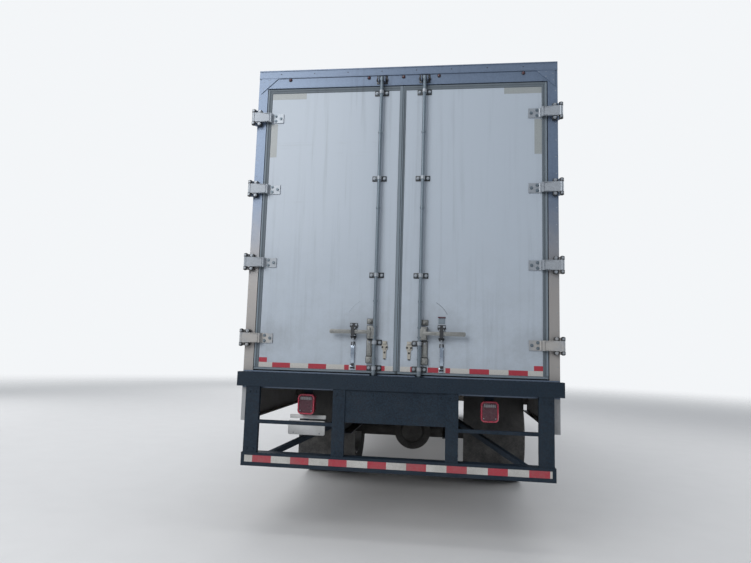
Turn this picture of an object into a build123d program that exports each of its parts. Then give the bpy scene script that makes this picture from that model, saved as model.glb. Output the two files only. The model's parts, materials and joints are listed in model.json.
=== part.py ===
from build123d import *
import os

# Box truck: bonneted cab and ladder chassis with a van body and twin rear doors.
# Millimetres. +Y points to the front, +Z up, origin on the ground under the middle of the length.
# Places in the cab and hood are given as distances ahead of the cab's back.

os.makedirs("parts", exist_ok=True)

# Whole vehicle
body_length = 6100.0
cab_gap = 100.0  # body front wall to the back of the cab
cab_to_bumper = 2720.0
rear_overhang = 2390.0  # rear axle to the rear face of the body
front_overhang = 1020.0  # front axle to the front of the bumper
rear_reach = 70.0  # how far the rear beam stands behind the body

# Van body
body_width = 2438.0
body_height = 2500.0  # sill to roof
sill_height = 1220.0
floor_drop = 135.0  # sill down to the underside of the bearers
deck = 35.0
wall = 30.0
panel_recess = 6.0
bottom_rail = 150.0
top_rail = 90.0
front_wall_depth = 110.0
front_corner_radius = 90.0
front_return = 30.0  # side flange of the front wall
roof_sheet = 30.0
roof_edge = 10.0
bearer_width = 50.0
bearer_count = 15
post_width = 77.0
post_depth = 100.0
header_height = 159.0
cap_height = 68.0  # raised band along the top of the header
cap_proud = 4.0
gusset_size = (150.0, 136.0)  # width, height of the sloped corner plates
gusset_drop = 68.0  # roof down to the top of the corner plates
gusset_metal = 6.0
gusset_inset = 19.0  # corner plates inside the side walls

# Rear doors
seal_gap = 5.0
centre_gap = 6.0
sill_gap = 8.0
door_thickness = 38.0
seal_width = 41.0  # lower step round the panel, for the seal
centre_seal = 20.0
seal_recess = 6.0

# Door hinges
hinge_bottom = 256.0  # lowest hinge above the sill
hinge_top_drop = 425.0  # roof down to the highest hinge
hinge_count = 4
pin_outboard = 16.0  # pin axis outside the side wall
pin_behind = 45.0  # pin axis behind the rear face
pin_radius = 8.0
knuckle_radius = 15.0
strap_height = 76.0
strap_thickness = 8.0
strap_reach = 227.0  # side wall to the strap's flat end
strap_step = 129.0  # side wall to the strap's bend
lug_height = 24.0
lug_foot = 30.0
lug_gap = 1.0
running_clearance = 0.06

# Lock gear on each door
rod_x = 174.0
rod_radius = 13.5
rod_behind = 34.0  # rod axis behind the rear face
rod_past_header = 59.0
rod_clearance = 5.0  # rod end above the beam
low_guides = (49.0, 245.0, 771.0)  # above the sill
high_guides = (948.0, 229.0)  # below the roof
guide_size = (72.0, 44.0, 6.0)  # width, height, metal
saddle_metal = 5.0
saddle_height = 28.0
keeper_gap = 8.0
keeper_metal = 6.0
keeper_height = 40.0
cam_size = (36.0, 26.0)  # height, width
handle_height = 323.0  # above the sill
handle_end = 523.0
handle_section = (10.0, 34.0)  # depth, height
hub_block = (199.0, 230.0, 100.0)  # from, to, height
hub_lug = (186.0, 235.0, 388.0, 426.0, 24.0)  # from, to, low, high, depth
gear_plate = (195.0, 234.0, 141.0, 263.0, 12.0)
gear_boss = (185.0, 238.0, 87.0, 135.0, 26.0)
retainer = (309.0, 373.0, 272.0, 392.0, 8.0)
retainer_cheeks = (318.0, 364.0, 296.0, 350.0)
holdback_foot = (324.0, 361.0, 29.0, 74.0, 8.0)
holdback_strap = (330.0, 357.0, 86.0, 217.0, 6.0)
holdback_hook = (323.0, 361.0, 217.0, 244.0, 22.0)
stop_head = (71.0, 120.0, 179.0, 258.0, 16.0)
stop_tail = (77.0, 106.0, 117.0, 179.0, 8.0)

# Rear beam and underride guard
beam_overhang = 21.0  # beam ends outside the side walls
beam_height = 110.0
beam_drop = 10.0
guard_inset = 44.0
guard_top = 620.0  # below the sill
guard_height = 100.0
guard_metal = 44.0
outer_post_inset = 10.0
outer_post_width = 110.0
inner_post_width = 95.0
guard_plate_drop = 366.0
guard_plate_metal = 8.0
mid_bar = (375.0, 400.0)  # below the sill
brace_size = 40.0
brace_reach = 900.0
brace_inset = 160.0
brace_rise = 75.0  # rail underside up to the brace's head
post_set_back = 6.0
inner_post_lap = 52.0  # inside the rail's outer face
hanger_metal = 12.0

# Tail lamps, number plate hanger, flaps and skirts
tail_lamp_x = 707.0
tail_lamp_drop = 248.0  # below the sill
tail_lamp_size = (150.0, 50.0, 160.0)
tail_lamp_in = 60.0  # ahead of the rear face
lamp_corner = 18.0
lamp_arm = (60.0, 14.0)
plate_x = 677.0
plate_drop = 471.0
plate_arm = (40.0, 5.0)
plate_in = 135.0
flap_place = 1650.0  # ahead of the rear face
flap_metal = 10.0
flap_inset = 54.0
flap_lap = 60.0  # past the inner tyre
flap_bottom = 260.0
skirt_drop = 255.0
skirt_metal = 5.0
skirt_flange = 50.0
skirt_front_gap = 150.0
skirt_opening = 120.0  # past the tyre, ahead of it and behind it
skirt_above_wheel = 40.0

# Chassis
rail_top = 1000.0
rail_height = 254.0
rail_flange = 76.0
rail_metal = 8.0
rail_spread = 864.0  # over the outside of the rails
rail_front_gap = 135.0  # bumper face to the rail ends
rail_rear_gap = 110.0
cross_shares = (0.04, 0.22, 0.40, 0.58, 0.765)  # of the rail length
cross_height = 100.0
front_cross_gap = 85.0
front_cross_height = 96.0
tow_bore = 22.0
tow_plate = 24.0
tow_length = 90.0
tow_back = 40.0  # rail end back to the bore

# Bumper
bumper_top = 700.0
bumper_height = 280.0
bumper_metal = 10.0
bumper_bend_x = 800.0
bumper_shoulder = (140.0, 60.0)  # across, back
bumper_end_x = 1130.0
bumper_sweep = 290.0
bracket_metal = 14.0
bracket_lap = 100.0
bracket_neck = 90.0
bracket_ends = (30.0, 210.0)  # above the bumper's lower edge

# Tyres and wheels
tyre_radius = 500.0
tyre_width = 270.0
rim_radius = 286.0
rim_width = 220.0
rim_metal = 9.0
rim_flange = (12.0, 30.0)  # thickness, height
disc_metal = 12.0
disc_flat = 178.0  # radius of the disc's flat middle
dual_spacing = 330.0
front_track_half = 985.0
rear_track_half = 920.0
hand_holes = 5
hand_hole_radius = 26.0
hub_radius = 92.0
hub_reach = 55.0  # past the disc
drum_radius = 205.0
drum_metal = 19.0
drum_depth = 176.0
brake_plate_gap = 10.0
brake_plate = 8.0

# Front axle and steering
kingpin_x = 890.0
kingpin_radius = 20.0
axle_eye = (44.0, 52.0)  # radius, half height
axle_beam = (90.0, 88.0)  # depth, height
axle_drop = 60.0
axle_bends = (150.0, 290.0)  # from the kingpin, above; the lower bends are 40 further in
ear_radius = 36.0
ear_thickness = 34.0
ear_gap = 3.0
web_offset = 52.0
web_thickness = 26.0
spindle_radius = 38.0
arm_back = 180.0
arm_drop = 100.0
arm_metal = 24.0
arm_half = 26.0
ball_radius = 13.0
tie_radius = 18.0
tie_above = 34.0
tie_end = (26.0, 38.0)  # radius, height

# Rear axle and springs
axle_tube = 72.0
axle_tube_half = 590.0
axle_end_radius = 48.0
axle_end_reach = 30.0  # past the middle of the twin wheels
diff_radius = 205.0
diff_width = 180.0
pinion_reach = 224.0
cover_reach = 135.0
spring_x = 472.0
spring_width = 76.0
leaf_metal = 15.0
leaf_count = 5
leaf_step = 0.16  # each leaf is this share shorter than the one above
eye_drop = 45.0  # rail underside down to the spring eyes
hanger_length = 60.0
hanger_lap = 80.0
front_spring_half = 640.0
rear_spring_half = 700.0

# Engine, radiator and drive line
engine_size = (620.0, 900.0, 700.0)
engine_ahead = 1430.0
engine_bottom = 780.0
radiator_size = (700.0, 90.0, 540.0)
radiator_ahead = 2400.0
radiator_bottom = 880.0
gearbox_front = (400.0, 230.0)
gearbox_back = (220.0, 180.0)
gearbox_corner = 60.0
gearbox_length = 830.0
gearbox_height = 800.0
shaft_radius = 48.0

# Exhaust, tank, battery box and steps
silencer_radius = 130.0
silencer_length = 950.0
silencer_x = 640.0
silencer_height = 800.0
silencer_back = 550.0
pipe_radius = 50.0
pipe_run = 420.0
pipe_bend = 160.0
pipe_end_x = 1130.0
strap_metal = 6.0
strap_width = 60.0
tank_radius = 250.0
tank_length = 850.0
tank_ahead = 150.0
tank_gap = 40.0
tank_height = 740.0
vessel_corner = 30.0
battery_size = (528.0, 680.0, 400.0)
battery_ahead = 300.0
battery_bottom = 540.0
battery_corner = 40.0
step_metal = 8.0
tread_metal = 26.0
step_outer = 1100.0
step_gap = 14.0
step_ahead = 260.0
step_length = 680.0
step_levels = (480.0, 760.0)

# Cab
cab_half_width = 1020.0
cab_wall = 45.0
cab_floor = 1000.0
toe_rise = 110.0  # floor up to the underside of the cowl
toe_ahead = 1040.0
cab_roof = 2570.0
roof_camber = 10.0
roof_corner = (110.0, 120.0)  # slope of the rear roof edge: length, height
roof_edge_radius = 120.0
belt = 1700.0
tumblehome = 55.0
windscreen_foot = (1200.0, 1720.0)  # ahead, height
windscreen_head_ahead = 900.0
windscreen_head_drop = 80.0  # below the roof
visor_length = 130.0
cowl_step = (25.0, 40.0)  # length, height
cowl_drop = 80.0
cowl_ahead = 1390.0
cowl_half_width = 860.0
wing_half_width = 970.0  # cab side at the windscreen's foot
side_corner = 90.0
front_corner = 130.0
screen_border = (110.0, 50.0, 165.0, 60.0)  # foot: side, up; head: side, down
rear_window = (900.0, 360.0)
rear_window_drop = 490.0  # roof down to its middle
glass = 6.0
glass_inset = 18.0

# Cab doors and mirrors
door_gap = 10.0
cab_door_rear = 180.0
cab_door_front = 985.0
cab_door_bottom = 1090.0
cab_door_drop = 170.0  # roof down to the door's top
pillar = 110.0
window_border = 70.0
window_rise = 40.0  # belt up to the glass
door_pin_outboard = 12.0
door_pin_radius = 6.0
door_knuckle = 11.0
door_knuckle_height = 60.0
door_lug_height = 26.0
door_leaf = 40.0
door_leaf_depth = 24.0  # pin axis to the leaf's inner face
door_hinges = (1240.0, 1610.0)
mirror_size = (210.0, 60.0, 420.0)
mirror_corner = 25.0
mirror_x = 1180.0
mirror_back = 85.0  # door's front edge back to the mirror
mirror_rise = 190.0  # belt up to the mirror's middle
mirror_arm = 20.0

# Seats, dashboard and steering wheel
seat_x = 470.0
seat_width = 500.0
cushion_height = 320.0  # above the floor
dash_half_width = 800.0
dash_ahead = 1010.0
dash_depth = 240.0
dash_low = 300.0  # above the floor
dash_height = 360.0
column_foot = (1060.0, 1440.0)  # ahead, height
wheel_centre = (840.0, 1650.0)
column_radius = 30.0
wheel_ring = 220.0
ring_radius = 15.0
wheel_hub = 55.0
spoke_width = 34.0

# Hood and fenders
hood_skin = 25.0
hood_front = 2640.0
hood_rear = 1055.0
hood_rise = 46.0  # windscreen foot up to the hood
hood_fall = 286.0  # rear of the hood down to its front
hood_half_rear = 990.0
hood_half_front = 700.0
hood_corner = (130.0, 110.0)  # rear, front
hood_seam = ((1055.0, 1250.0), (1130.0, 1500.0), (1235.0, 1735.0))  # ahead, height
seam_gap = 12.0
hood_pivot = (2570.0, 745.0)
fender_half_width = 1150.0
fender_top = 1270.0  # at the rear
fender_crown = 60.0
fender_corner = 120.0
fender_fall = 120.0  # rear of the fender down to its front
fender_sweep = ((420.0, 0.0), (160.0, 60.0), (20.0, 190.0))  # behind the front, inside the side
fender_front_bottom = 750.0
fender_rear_bottom = 620.0
arch_gap = 100.0
hinge_plate = 14.0
hinge_nose = 26.0
hood_pin_radius = 12.0
hood_pin_length = 50.0
hood_lug = (24.0, 24.0)  # radius, thickness
hood_lug_gap = 6.0
grille_half_width = 500.0
grille_low = 860.0
grille_height = 530.0
grille_border = 40.0
grille_bars = 7
grille_bar = 24.0
lamp_x = (740.0, 940.0)
lamp_z = (900.0, 1080.0)
lamp_depth = 56.0

# Places worked out from the sizes above
wheelbase = body_length + cab_gap + cab_to_bumper - rear_overhang - front_overhang
overall_length = rear_reach + rear_overhang + wheelbase + front_overhang
y_front = overall_length / 2
y_front_axle = y_front - front_overhang
y_rear_axle = y_front_axle - wheelbase
y_rear_face = y_rear_axle - rear_overhang
y_body_front = y_rear_face + body_length
y_cab = y_front - cab_to_bumper
side = body_width / 2
inner_side = side - wall
roof_top = sill_height + body_height
under_body = sill_height - floor_drop
post_inner = side - post_width
header_bottom = roof_top - header_height
pin_x = side + pin_outboard
pin_y = y_rear_face - pin_behind
hinge_pitch = (body_height - hinge_top_drop - hinge_bottom) / (hinge_count - 1)
hinge_heights = [sill_height + hinge_bottom + i * hinge_pitch for i in range(hinge_count)]
rod_y = y_rear_face - rod_behind
beam_top = sill_height - beam_drop
rail_rear = y_rear_face + rail_rear_gap
rail_front = y_front - rail_front_gap
rail_half = rail_spread / 2
rail_bottom = rail_top - rail_height
rail_inner = rail_half - rail_metal
axle_z = tyre_radius
arch_radius = tyre_radius + arch_gap
disc_offset = dual_spacing / 2  # twin discs meet back to back
floor_rear = y_rear_face + post_depth
floor_front = y_body_front - front_wall_depth
windscreen_head = (windscreen_head_ahead, cab_roof - windscreen_head_drop)
cab_door_top = cab_roof - cab_door_drop
hood_top_rear = windscreen_foot[1] + hood_rise
hood_top_front = hood_top_rear - hood_fall
door_pin = (cab_half_width + door_pin_outboard, y_cab + cab_door_front + door_gap / 2)
sides = (("left", -1), ("right", 1))


def block(x, y, z, mode=Mode.ADD):
    """A box between the given limits, each a (low, high) pair."""
    with Locations(((x[0] + x[1]) / 2, (y[0] + y[1]) / 2, (z[0] + z[1]) / 2)):
        Box(abs(x[1] - x[0]), abs(y[1] - y[0]), abs(z[1] - z[0]), mode=mode)


def pair(s, low, high):
    """The limits low to high on the side s, -1 for left and 1 for right."""
    return (s * low, s * high) if s > 0 else (s * high, s * low)


def across(y):
    """Upright plane across the truck, seen from behind; a negative extrusion goes forward."""
    return Plane.XZ.offset(-y)


def outline(points):
    """Closed straight-sided face through the points."""
    with BuildSketch() as shape:
        with BuildLine():
            Polyline(*points, close=True)
        make_face()
    return shape.sketch


def keep(piece, name):
    piece.part.label = name
    export_step(piece.part, f"parts/{name}.step")


# Chassis rails: two channels, a bored tow plate under each front end, and the hood's hinge pins
tow_y = rail_front - tow_back
pivot_y = y_cab + hood_pivot[0]
pivot_z = hood_pivot[1]
with BuildPart() as chassis:
    for s in (-1, 1):
        with BuildSketch(across(rail_rear)):
            add(
                outline(
                    [
                        (s * (rail_half - rail_flange), rail_bottom),
                        (s * rail_half, rail_bottom),
                        (s * rail_half, rail_top),
                        (s * (rail_half - rail_flange), rail_top),
                        (s * (rail_half - rail_flange), rail_top - rail_metal),
                        (s * rail_inner, rail_top - rail_metal),
                        (s * rail_inner, rail_bottom + rail_metal),
                        (s * (rail_half - rail_flange), rail_bottom + rail_metal),
                    ]
                )
            )
        extrude(amount=rail_rear - rail_front)
        block(
            pair(s, rail_half - rail_flange, rail_half),
            (tow_y - tow_length / 2, tow_y + tow_length / 2),
            (rail_bottom - tow_plate, rail_bottom),
        )
        with Locations((s * (rail_half - rail_flange / 2), tow_y, rail_bottom - (tow_plate - rail_metal) / 2)):
            Cylinder(tow_bore, tow_plate + rail_metal, mode=Mode.SUBTRACT)
        with BuildSketch(Plane.YZ.offset(s * rail_half)):
            with Locations((pivot_y, pivot_z)):
                Circle(hinge_nose)
            with Locations((pivot_y - hinge_nose, pivot_z + hinge_nose)):
                Rectangle(2 * hinge_nose, 4 * hinge_nose)
        extrude(amount=s * hinge_plate)
        with Locations((s * (rail_half + hood_pin_length / 2), pivot_y, pivot_z)):
            Cylinder(hood_pin_radius, hood_pin_length, rotation=(0, 90, 0))
keep(chassis, "chassis_rails")

# Cross members: channels between the rails, one of them low down ahead of the engine
rail_length = rail_front - rail_rear
cross_places = [(rail_rear + share * rail_length, rail_top - 2 * rail_metal) for share in cross_shares]
cross_places.append((rail_front - front_cross_gap, rail_bottom + rail_metal + front_cross_height))
with BuildPart() as cross_members:
    for y, top in cross_places:
        block((-rail_inner, rail_inner), (y, y + rail_metal), (top - cross_height + rail_metal, top))
        block((-rail_inner, rail_inner), (y, y + rail_flange), (top - rail_metal, top))
keep(cross_members, "cross_members")

# Front bumper: a bent plate with swept ends, on brackets under the rails
bumper_low = bumper_top - bumper_height
bumper_middle = y_front - bumper_metal / 2
bracket_rear = tow_y - tow_length / 2 - bracket_lap - 10
shoulder_x = bumper_bend_x + bumper_shoulder[0]
with BuildPart() as bumper:
    with BuildSketch(Plane.XY.offset(bumper_low)):
        with BuildLine():
            Polyline(
                (-bumper_end_x, bumper_middle - bumper_sweep),
                (-shoulder_x, bumper_middle - bumper_shoulder[1]),
                (-bumper_bend_x, bumper_middle),
                (bumper_bend_x, bumper_middle),
                (shoulder_x, bumper_middle - bumper_shoulder[1]),
                (bumper_end_x, bumper_middle - bumper_sweep),
            )
        trace(line_width=bumper_metal)
    extrude(amount=bumper_height)
    for s in (-1, 1):
        with BuildSketch(Plane.YZ.offset(s * rail_half)):
            add(
                outline(
                    [
                        (bracket_rear, rail_bottom),
                        (bracket_rear + bracket_lap, rail_bottom),
                        (bracket_rear + bracket_lap, rail_bottom - bracket_neck),
                        (y_front - bumper_metal, bumper_low + bracket_ends[1]),
                        (y_front - bumper_metal, bumper_low + bracket_ends[0]),
                        (tow_y, bumper_low + bracket_ends[0]),
                        (bracket_rear, rail_bottom - bracket_neck),
                    ]
                )
            )
        extrude(amount=-s * bracket_metal)
keep(bumper, "front_bumper")

# Front axle: a dropped beam with an eye and a pin at each end
eye_radius, eye_half = axle_eye
beam_half = axle_beam[1] / 2
low_beam = axle_z - axle_drop
upper_bend = kingpin_x - axle_bends[0]
lower_bend = kingpin_x - axle_bends[1]
with BuildPart() as front_axle:
    with BuildSketch(across(y_front_axle + axle_beam[0] / 2)):
        add(
            outline(
                [
                    (-kingpin_x, axle_z - beam_half),
                    (-kingpin_x, axle_z + beam_half),
                    (-upper_bend, axle_z + beam_half),
                    (-lower_bend, low_beam + beam_half),
                    (lower_bend, low_beam + beam_half),
                    (upper_bend, axle_z + beam_half),
                    (kingpin_x, axle_z + beam_half),
                    (kingpin_x, axle_z - beam_half),
                    (upper_bend - 40, axle_z - beam_half),
                    (lower_bend - 40, low_beam - beam_half),
                    (-lower_bend + 40, low_beam - beam_half),
                    (-upper_bend + 40, axle_z - beam_half),
                ]
            )
        )
    extrude(amount=axle_beam[0])
    for s in (-1, 1):
        with Locations((s * kingpin_x, y_front_axle, axle_z)):
            Cylinder(eye_radius, 2 * eye_half)
            Cylinder(kingpin_radius, 2 * (eye_half + ear_gap + ear_thickness))
keep(front_axle, "front_axle")

# Knuckles: ears round the pin, a web, the spindle, a brake plate and the arm to the tie rod
arm_z = axle_z - arm_drop
web_x = kingpin_x + web_offset
web_outer = web_x + web_thickness
spindle_end = front_track_half + disc_offset - disc_metal
ear_low = eye_half + ear_gap
for name, s in sides:
    with BuildPart() as knuckle:
        for z in (ear_low, -ear_low - ear_thickness):
            with BuildSketch(Plane.XY.offset(axle_z + z)):
                with Locations((s * kingpin_x, y_front_axle)):
                    Circle(ear_radius)
                with Locations((s * (kingpin_x + web_outer) / 2, y_front_axle)):
                    Rectangle(web_outer - kingpin_x, 2 * ear_radius)
                with Locations((s * kingpin_x, y_front_axle)):
                    Circle(kingpin_radius + running_clearance, mode=Mode.SUBTRACT)
            extrude(amount=ear_thickness)
        block(
            pair(s, web_x, web_outer),
            (y_front_axle - ear_radius, y_front_axle + ear_radius),
            (axle_z - ear_low - ear_thickness, axle_z + ear_low + ear_thickness),
        )
        with Locations((s * (web_outer - brake_plate / 2), y_front_axle, axle_z)):
            Cylinder(drum_radius - drum_metal - brake_plate_gap, brake_plate, rotation=(0, 90, 0))
        with Locations((s * (web_x + spindle_end) / 2, y_front_axle, axle_z)):
            Cylinder(spindle_radius, spindle_end - web_x, rotation=(0, 90, 0))
        with BuildSketch(Plane.XY.offset(arm_z - arm_metal / 2)):
            add(
                outline(
                    [
                        (s * web_x, y_front_axle - 10),
                        (s * web_outer, y_front_axle - 10),
                        (s * web_outer, y_front_axle - 60),
                        (s * (kingpin_x + arm_half), y_front_axle - arm_back - 20),
                        (s * (kingpin_x - arm_half), y_front_axle - arm_back - 20),
                        (s * (kingpin_x - arm_half), y_front_axle - arm_back + 20),
                    ]
                )
            )
        extrude(amount=arm_metal)
        with Locations((s * kingpin_x, y_front_axle - arm_back, arm_z)):
            Cylinder(ball_radius + running_clearance, 2 * arm_metal, mode=Mode.SUBTRACT)
    keep(knuckle, f"knuckle_{name}")

# Tie rod: a tube with a pin down into each arm
tie_z = arm_z + tie_above
with BuildPart() as tie_rod:
    with Locations((0, y_front_axle - arm_back, tie_z)):
        Cylinder(tie_radius, 2 * kingpin_x, rotation=(0, 90, 0))
    for s in (-1, 1):
        with Locations((s * kingpin_x, y_front_axle - arm_back, tie_z)):
            Cylinder(*tie_end)
        with Locations((s * kingpin_x, y_front_axle - arm_back, arm_z + tie_above / 2 - arm_metal / 2)):
            Cylinder(ball_radius, tie_above)
keep(tie_rod, "tie_rod")


def wheel_plane(x, y):
    """Plane for a wheel's half section: local X runs along the axle, local Y is the radius."""
    return Plane(origin=(x, y, axle_z), x_dir=(1, 0, 0), z_dir=(0, -1, 0))


# Half section of a tyre: bead seat, bulged side walls and crowned tread
bead = rim_width / 2 - rim_flange[0] - 1
bead_top = rim_radius + 25
tread_half = tyre_width / 2 - 42
shoulder = (tyre_width / 2 - 14, tyre_radius - 38)
bulge = rim_radius + 0.46 * (tyre_radius - rim_radius)
with BuildSketch() as tyre_section:
    with BuildLine():
        Polyline((-bead, bead_top), (-bead, rim_radius + 2), (bead, rim_radius + 2), (bead, bead_top))
        ThreePointArc((bead, bead_top), (tyre_width / 2, bulge), shoulder)
        Line(shoulder, (tread_half, tyre_radius - 6))
        ThreePointArc((tread_half, tyre_radius - 6), (0, tyre_radius), (-tread_half, tyre_radius - 6))
        Line((-tread_half, tyre_radius - 6), (-shoulder[0], shoulder[1]))
        ThreePointArc((-shoulder[0], shoulder[1]), (-tyre_width / 2, bulge), (-bead, bead_top))
    make_face()

# Half section of a wheel whose disc faces local +X: rim with flanges and a dished disc
disc_back = disc_offset - disc_metal
rim_edge = rim_width / 2
with BuildSketch() as wheel_section:
    for edge in (-1, 1):
        with Locations((edge * (rim_edge - rim_flange[0] / 2), rim_radius + 8)):
            Rectangle(*rim_flange)
    with Locations((0, rim_radius - rim_metal / 2 + 2)):
        Rectangle(rim_width, rim_metal)
    with BuildLine():
        Polyline(
            (disc_back, hub_radius - 4),
            (disc_offset, hub_radius - 4),
            (disc_offset, disc_flat),
            (rim_edge, rim_radius - rim_metal),
            (rim_edge, rim_radius + 2),
            (rim_edge - disc_metal, rim_radius + 2),
            (rim_edge - disc_metal, rim_radius - rim_metal - 6),
            (disc_back, disc_flat - 4),
            close=True,
        )
    make_face()

# Half section of a brake drum behind the disc
with BuildSketch() as drum_section:
    with Locations((disc_back - drum_depth / 2, drum_radius - drum_metal / 2)):
        Rectangle(drum_depth, drum_metal)
    with Locations((disc_back - disc_metal / 2, (drum_radius + disc_flat) / 2 - disc_metal)):
        Rectangle(disc_metal, drum_radius - disc_flat + 2 * disc_metal)


def wheel_part(x, y, facing, with_drum):
    """A wheel with its middle at x on the axle at y, whose disc faces -1 or 1 along X."""
    section = wheel_section.sketch
    if with_drum:
        section = section + drum_section.sketch
    if facing < 0:
        section = mirror(section, about=Plane.YZ)
    with BuildPart() as made:
        with BuildSketch(wheel_plane(x, y)):
            add(section)
        revolve(axis=Axis((x, y, axle_z), (1, 0, 0)))
        face = Plane(origin=(x, y, axle_z), x_dir=(0, 1, 0), z_dir=(facing, 0, 0))
        with BuildSketch(face.offset(rim_edge - 2 * disc_metal)):
            with PolarLocations((drum_radius + rim_radius - rim_metal) / 2, hand_holes):
                Circle(hand_hole_radius)
        extrude(amount=disc_offset, mode=Mode.SUBTRACT)
    return made.part


# Front wheels: the disc faces out, with a hub over the spindle
for name, s in sides:
    x = s * front_track_half
    with BuildPart() as tyre:
        with BuildSketch(wheel_plane(x, y_front_axle)):
            add(tyre_section.sketch)
        revolve(axis=Axis((x, y_front_axle, axle_z), (1, 0, 0)))
    keep(tyre, f"front_tyre_{name}")
    with BuildPart() as wheel:
        add(wheel_part(x, y_front_axle, s, True))
        outer = front_track_half + disc_offset + hub_reach
        inner = web_outer + brake_plate_gap
        with Locations((s * (outer + inner) / 2, y_front_axle, axle_z)):
            Cylinder(hub_radius, outer - inner, rotation=(0, 90, 0))
        with Locations((s * (spindle_end + inner) / 2, y_front_axle, axle_z)):
            Cylinder(
                spindle_radius + running_clearance,
                spindle_end - inner,
                rotation=(0, 90, 0),
                mode=Mode.SUBTRACT,
            )
    keep(wheel, f"front_wheel_{name}")

# Rear axle: tube, differential housing, brake plates and the ends that carry the twin wheels
axle_end = rear_track_half + axle_end_reach
drum_mouth = rear_track_half - disc_metal - drum_depth
with BuildPart() as rear_axle:
    with Locations((0, y_rear_axle, axle_z)):
        Cylinder(axle_tube, 2 * axle_tube_half, rotation=(0, 90, 0))
        Cylinder(axle_end_radius, 2 * axle_end, rotation=(0, 90, 0))
        Cylinder(diff_radius, diff_width, rotation=(90, 0, 0))
    with BuildSketch(across(y_rear_axle)):
        with Locations((0, axle_z)):
            Circle(0.75 * diff_radius)
    with BuildSketch(across(y_rear_axle + pinion_reach)):
        with Locations((0, axle_z)):
            Circle(1.4 * shaft_radius)
    loft(ruled=True)
    with BuildSketch(across(y_rear_axle)):
        with Locations((0, axle_z)):
            Circle(0.9 * diff_radius)
    with BuildSketch(across(y_rear_axle - cover_reach)):
        with Locations((0, axle_z)):
            Circle(0.55 * diff_radius)
    loft(ruled=True)
    for s in (-1, 1):
        with Locations((s * (drum_mouth + brake_plate / 2), y_rear_axle, axle_z)):
            Cylinder(drum_radius - drum_metal - brake_plate_gap, brake_plate, rotation=(0, 90, 0))
keep(rear_axle, "rear_axle")

# Twin rear wheels: two wheels back to back with one hub
for name, s in sides:
    with BuildPart() as tyres:
        for out in (-1, 1):
            x = s * rear_track_half + out * dual_spacing / 2
            with BuildSketch(wheel_plane(x, y_rear_axle)):
                add(tyre_section.sketch)
            revolve(axis=Axis((x, y_rear_axle, axle_z), (1, 0, 0)))
    keep(tyres, f"rear_tyres_{name}")
    with BuildPart() as wheels:
        for out in (-1, 1):
            x = s * rear_track_half + out * dual_spacing / 2
            add(wheel_part(x, y_rear_axle, -out, out != s))
        hub_in = drum_mouth + 2 * brake_plate_gap + brake_plate
        hub_out = axle_end + hub_reach
        with Locations((s * (hub_in + hub_out) / 2, y_rear_axle, axle_z)):
            Cylinder(hub_radius, hub_out - hub_in, rotation=(0, 90, 0))
        with Locations((s * (hub_in + axle_end) / 2, y_rear_axle, axle_z)):
            Cylinder(
                axle_end_radius + running_clearance,
                axle_end - hub_in,
                rotation=(0, 90, 0),
                mode=Mode.SUBTRACT,
            )
    keep(wheels, f"rear_wheels_{name}")

# Leaf springs: curved packs on both axles, with hangers on the rails
# place, half length, height of the seat under the pack
springs = (
    (y_front_axle, front_spring_half, low_beam + beam_half),
    (y_rear_axle, rear_spring_half, axle_z + axle_tube),
)
eye_z = rail_bottom - eye_drop
with BuildPart() as leaf_springs:
    for y, half, seat in springs:
        bottom = seat + leaf_metal * leaf_count
        sag = eye_z - bottom
        bend = (half**2 + sag**2) / (2 * sag)
        with BuildSketch(mode=Mode.PRIVATE) as pack:
            for i in range(leaf_count):
                with BuildSketch(mode=Mode.PRIVATE) as leaf:
                    with Locations((0, bottom + bend)):
                        Circle(bend + i * leaf_metal)
                        Circle(bend + (i - 1) * leaf_metal, mode=Mode.SUBTRACT)
                    with Locations((0, (eye_z + seat) / 2)):
                        Rectangle(2 * half * (1 - leaf_step * i), eye_z - seat, mode=Mode.INTERSECT)
                add(leaf.sketch)
            with Locations((0, (seat + bottom) / 2)):
                Rectangle(2 * axle_beam[0], bottom - seat)
        for s in (-1, 1):
            with BuildSketch(Plane(origin=(s * spring_x - spring_width / 2, y, 0), x_dir=(0, 1, 0), z_dir=(1, 0, 0))):
                add(pack.sketch)
            extrude(amount=spring_width)
            for end in (-1, 1):
                block(
                    pair(s, rail_half, spring_x + spring_width / 2),
                    (y + end * half - hanger_length / 2, y + end * half + hanger_length / 2),
                    (eye_z - hanger_length / 2, rail_bottom + hanger_lap),
                )
keep(leaf_springs, "leaf_springs")

# Engine as one plain block, radiator, gearbox and drive shaft
engine_rear = y_cab + engine_ahead
with BuildPart() as engine:
    block(
        (-engine_size[0] / 2, engine_size[0] / 2),
        (engine_rear, engine_rear + engine_size[1]),
        (engine_bottom, engine_bottom + engine_size[2]),
    )
keep(engine, "engine_block")

radiator_rear = y_cab + radiator_ahead
with BuildPart() as radiator:
    block(
        (-radiator_size[0] / 2, radiator_size[0] / 2),
        (radiator_rear, radiator_rear + radiator_size[1]),
        (radiator_bottom, radiator_bottom + radiator_size[2]),
    )
keep(radiator, "radiator")

gearbox_rear = engine_rear - gearbox_length
shaft_start = Vector(0, gearbox_rear, gearbox_height)
shaft_end = Vector(0, y_rear_axle + pinion_reach, axle_z)
with BuildPart() as driveline:
    for y, size in ((engine_rear, gearbox_front), (gearbox_rear, gearbox_back)):
        with BuildSketch(across(y)):
            with Locations((0, gearbox_height)):
                RectangleRounded(*size, gearbox_corner)
    loft()
    with BuildSketch(Plane(origin=shaft_start, z_dir=shaft_end - shaft_start)):
        Circle(shaft_radius)
    extrude(amount=(shaft_end - shaft_start).length + shaft_radius)
    block(
        (-2 * shaft_radius, 2 * shaft_radius),
        (y_rear_axle, shaft_end.Y),
        (axle_z - 2 * shaft_radius, axle_z + 2 * shaft_radius),
        mode=Mode.SUBTRACT,
    )
keep(driveline, "driveline")

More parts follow.
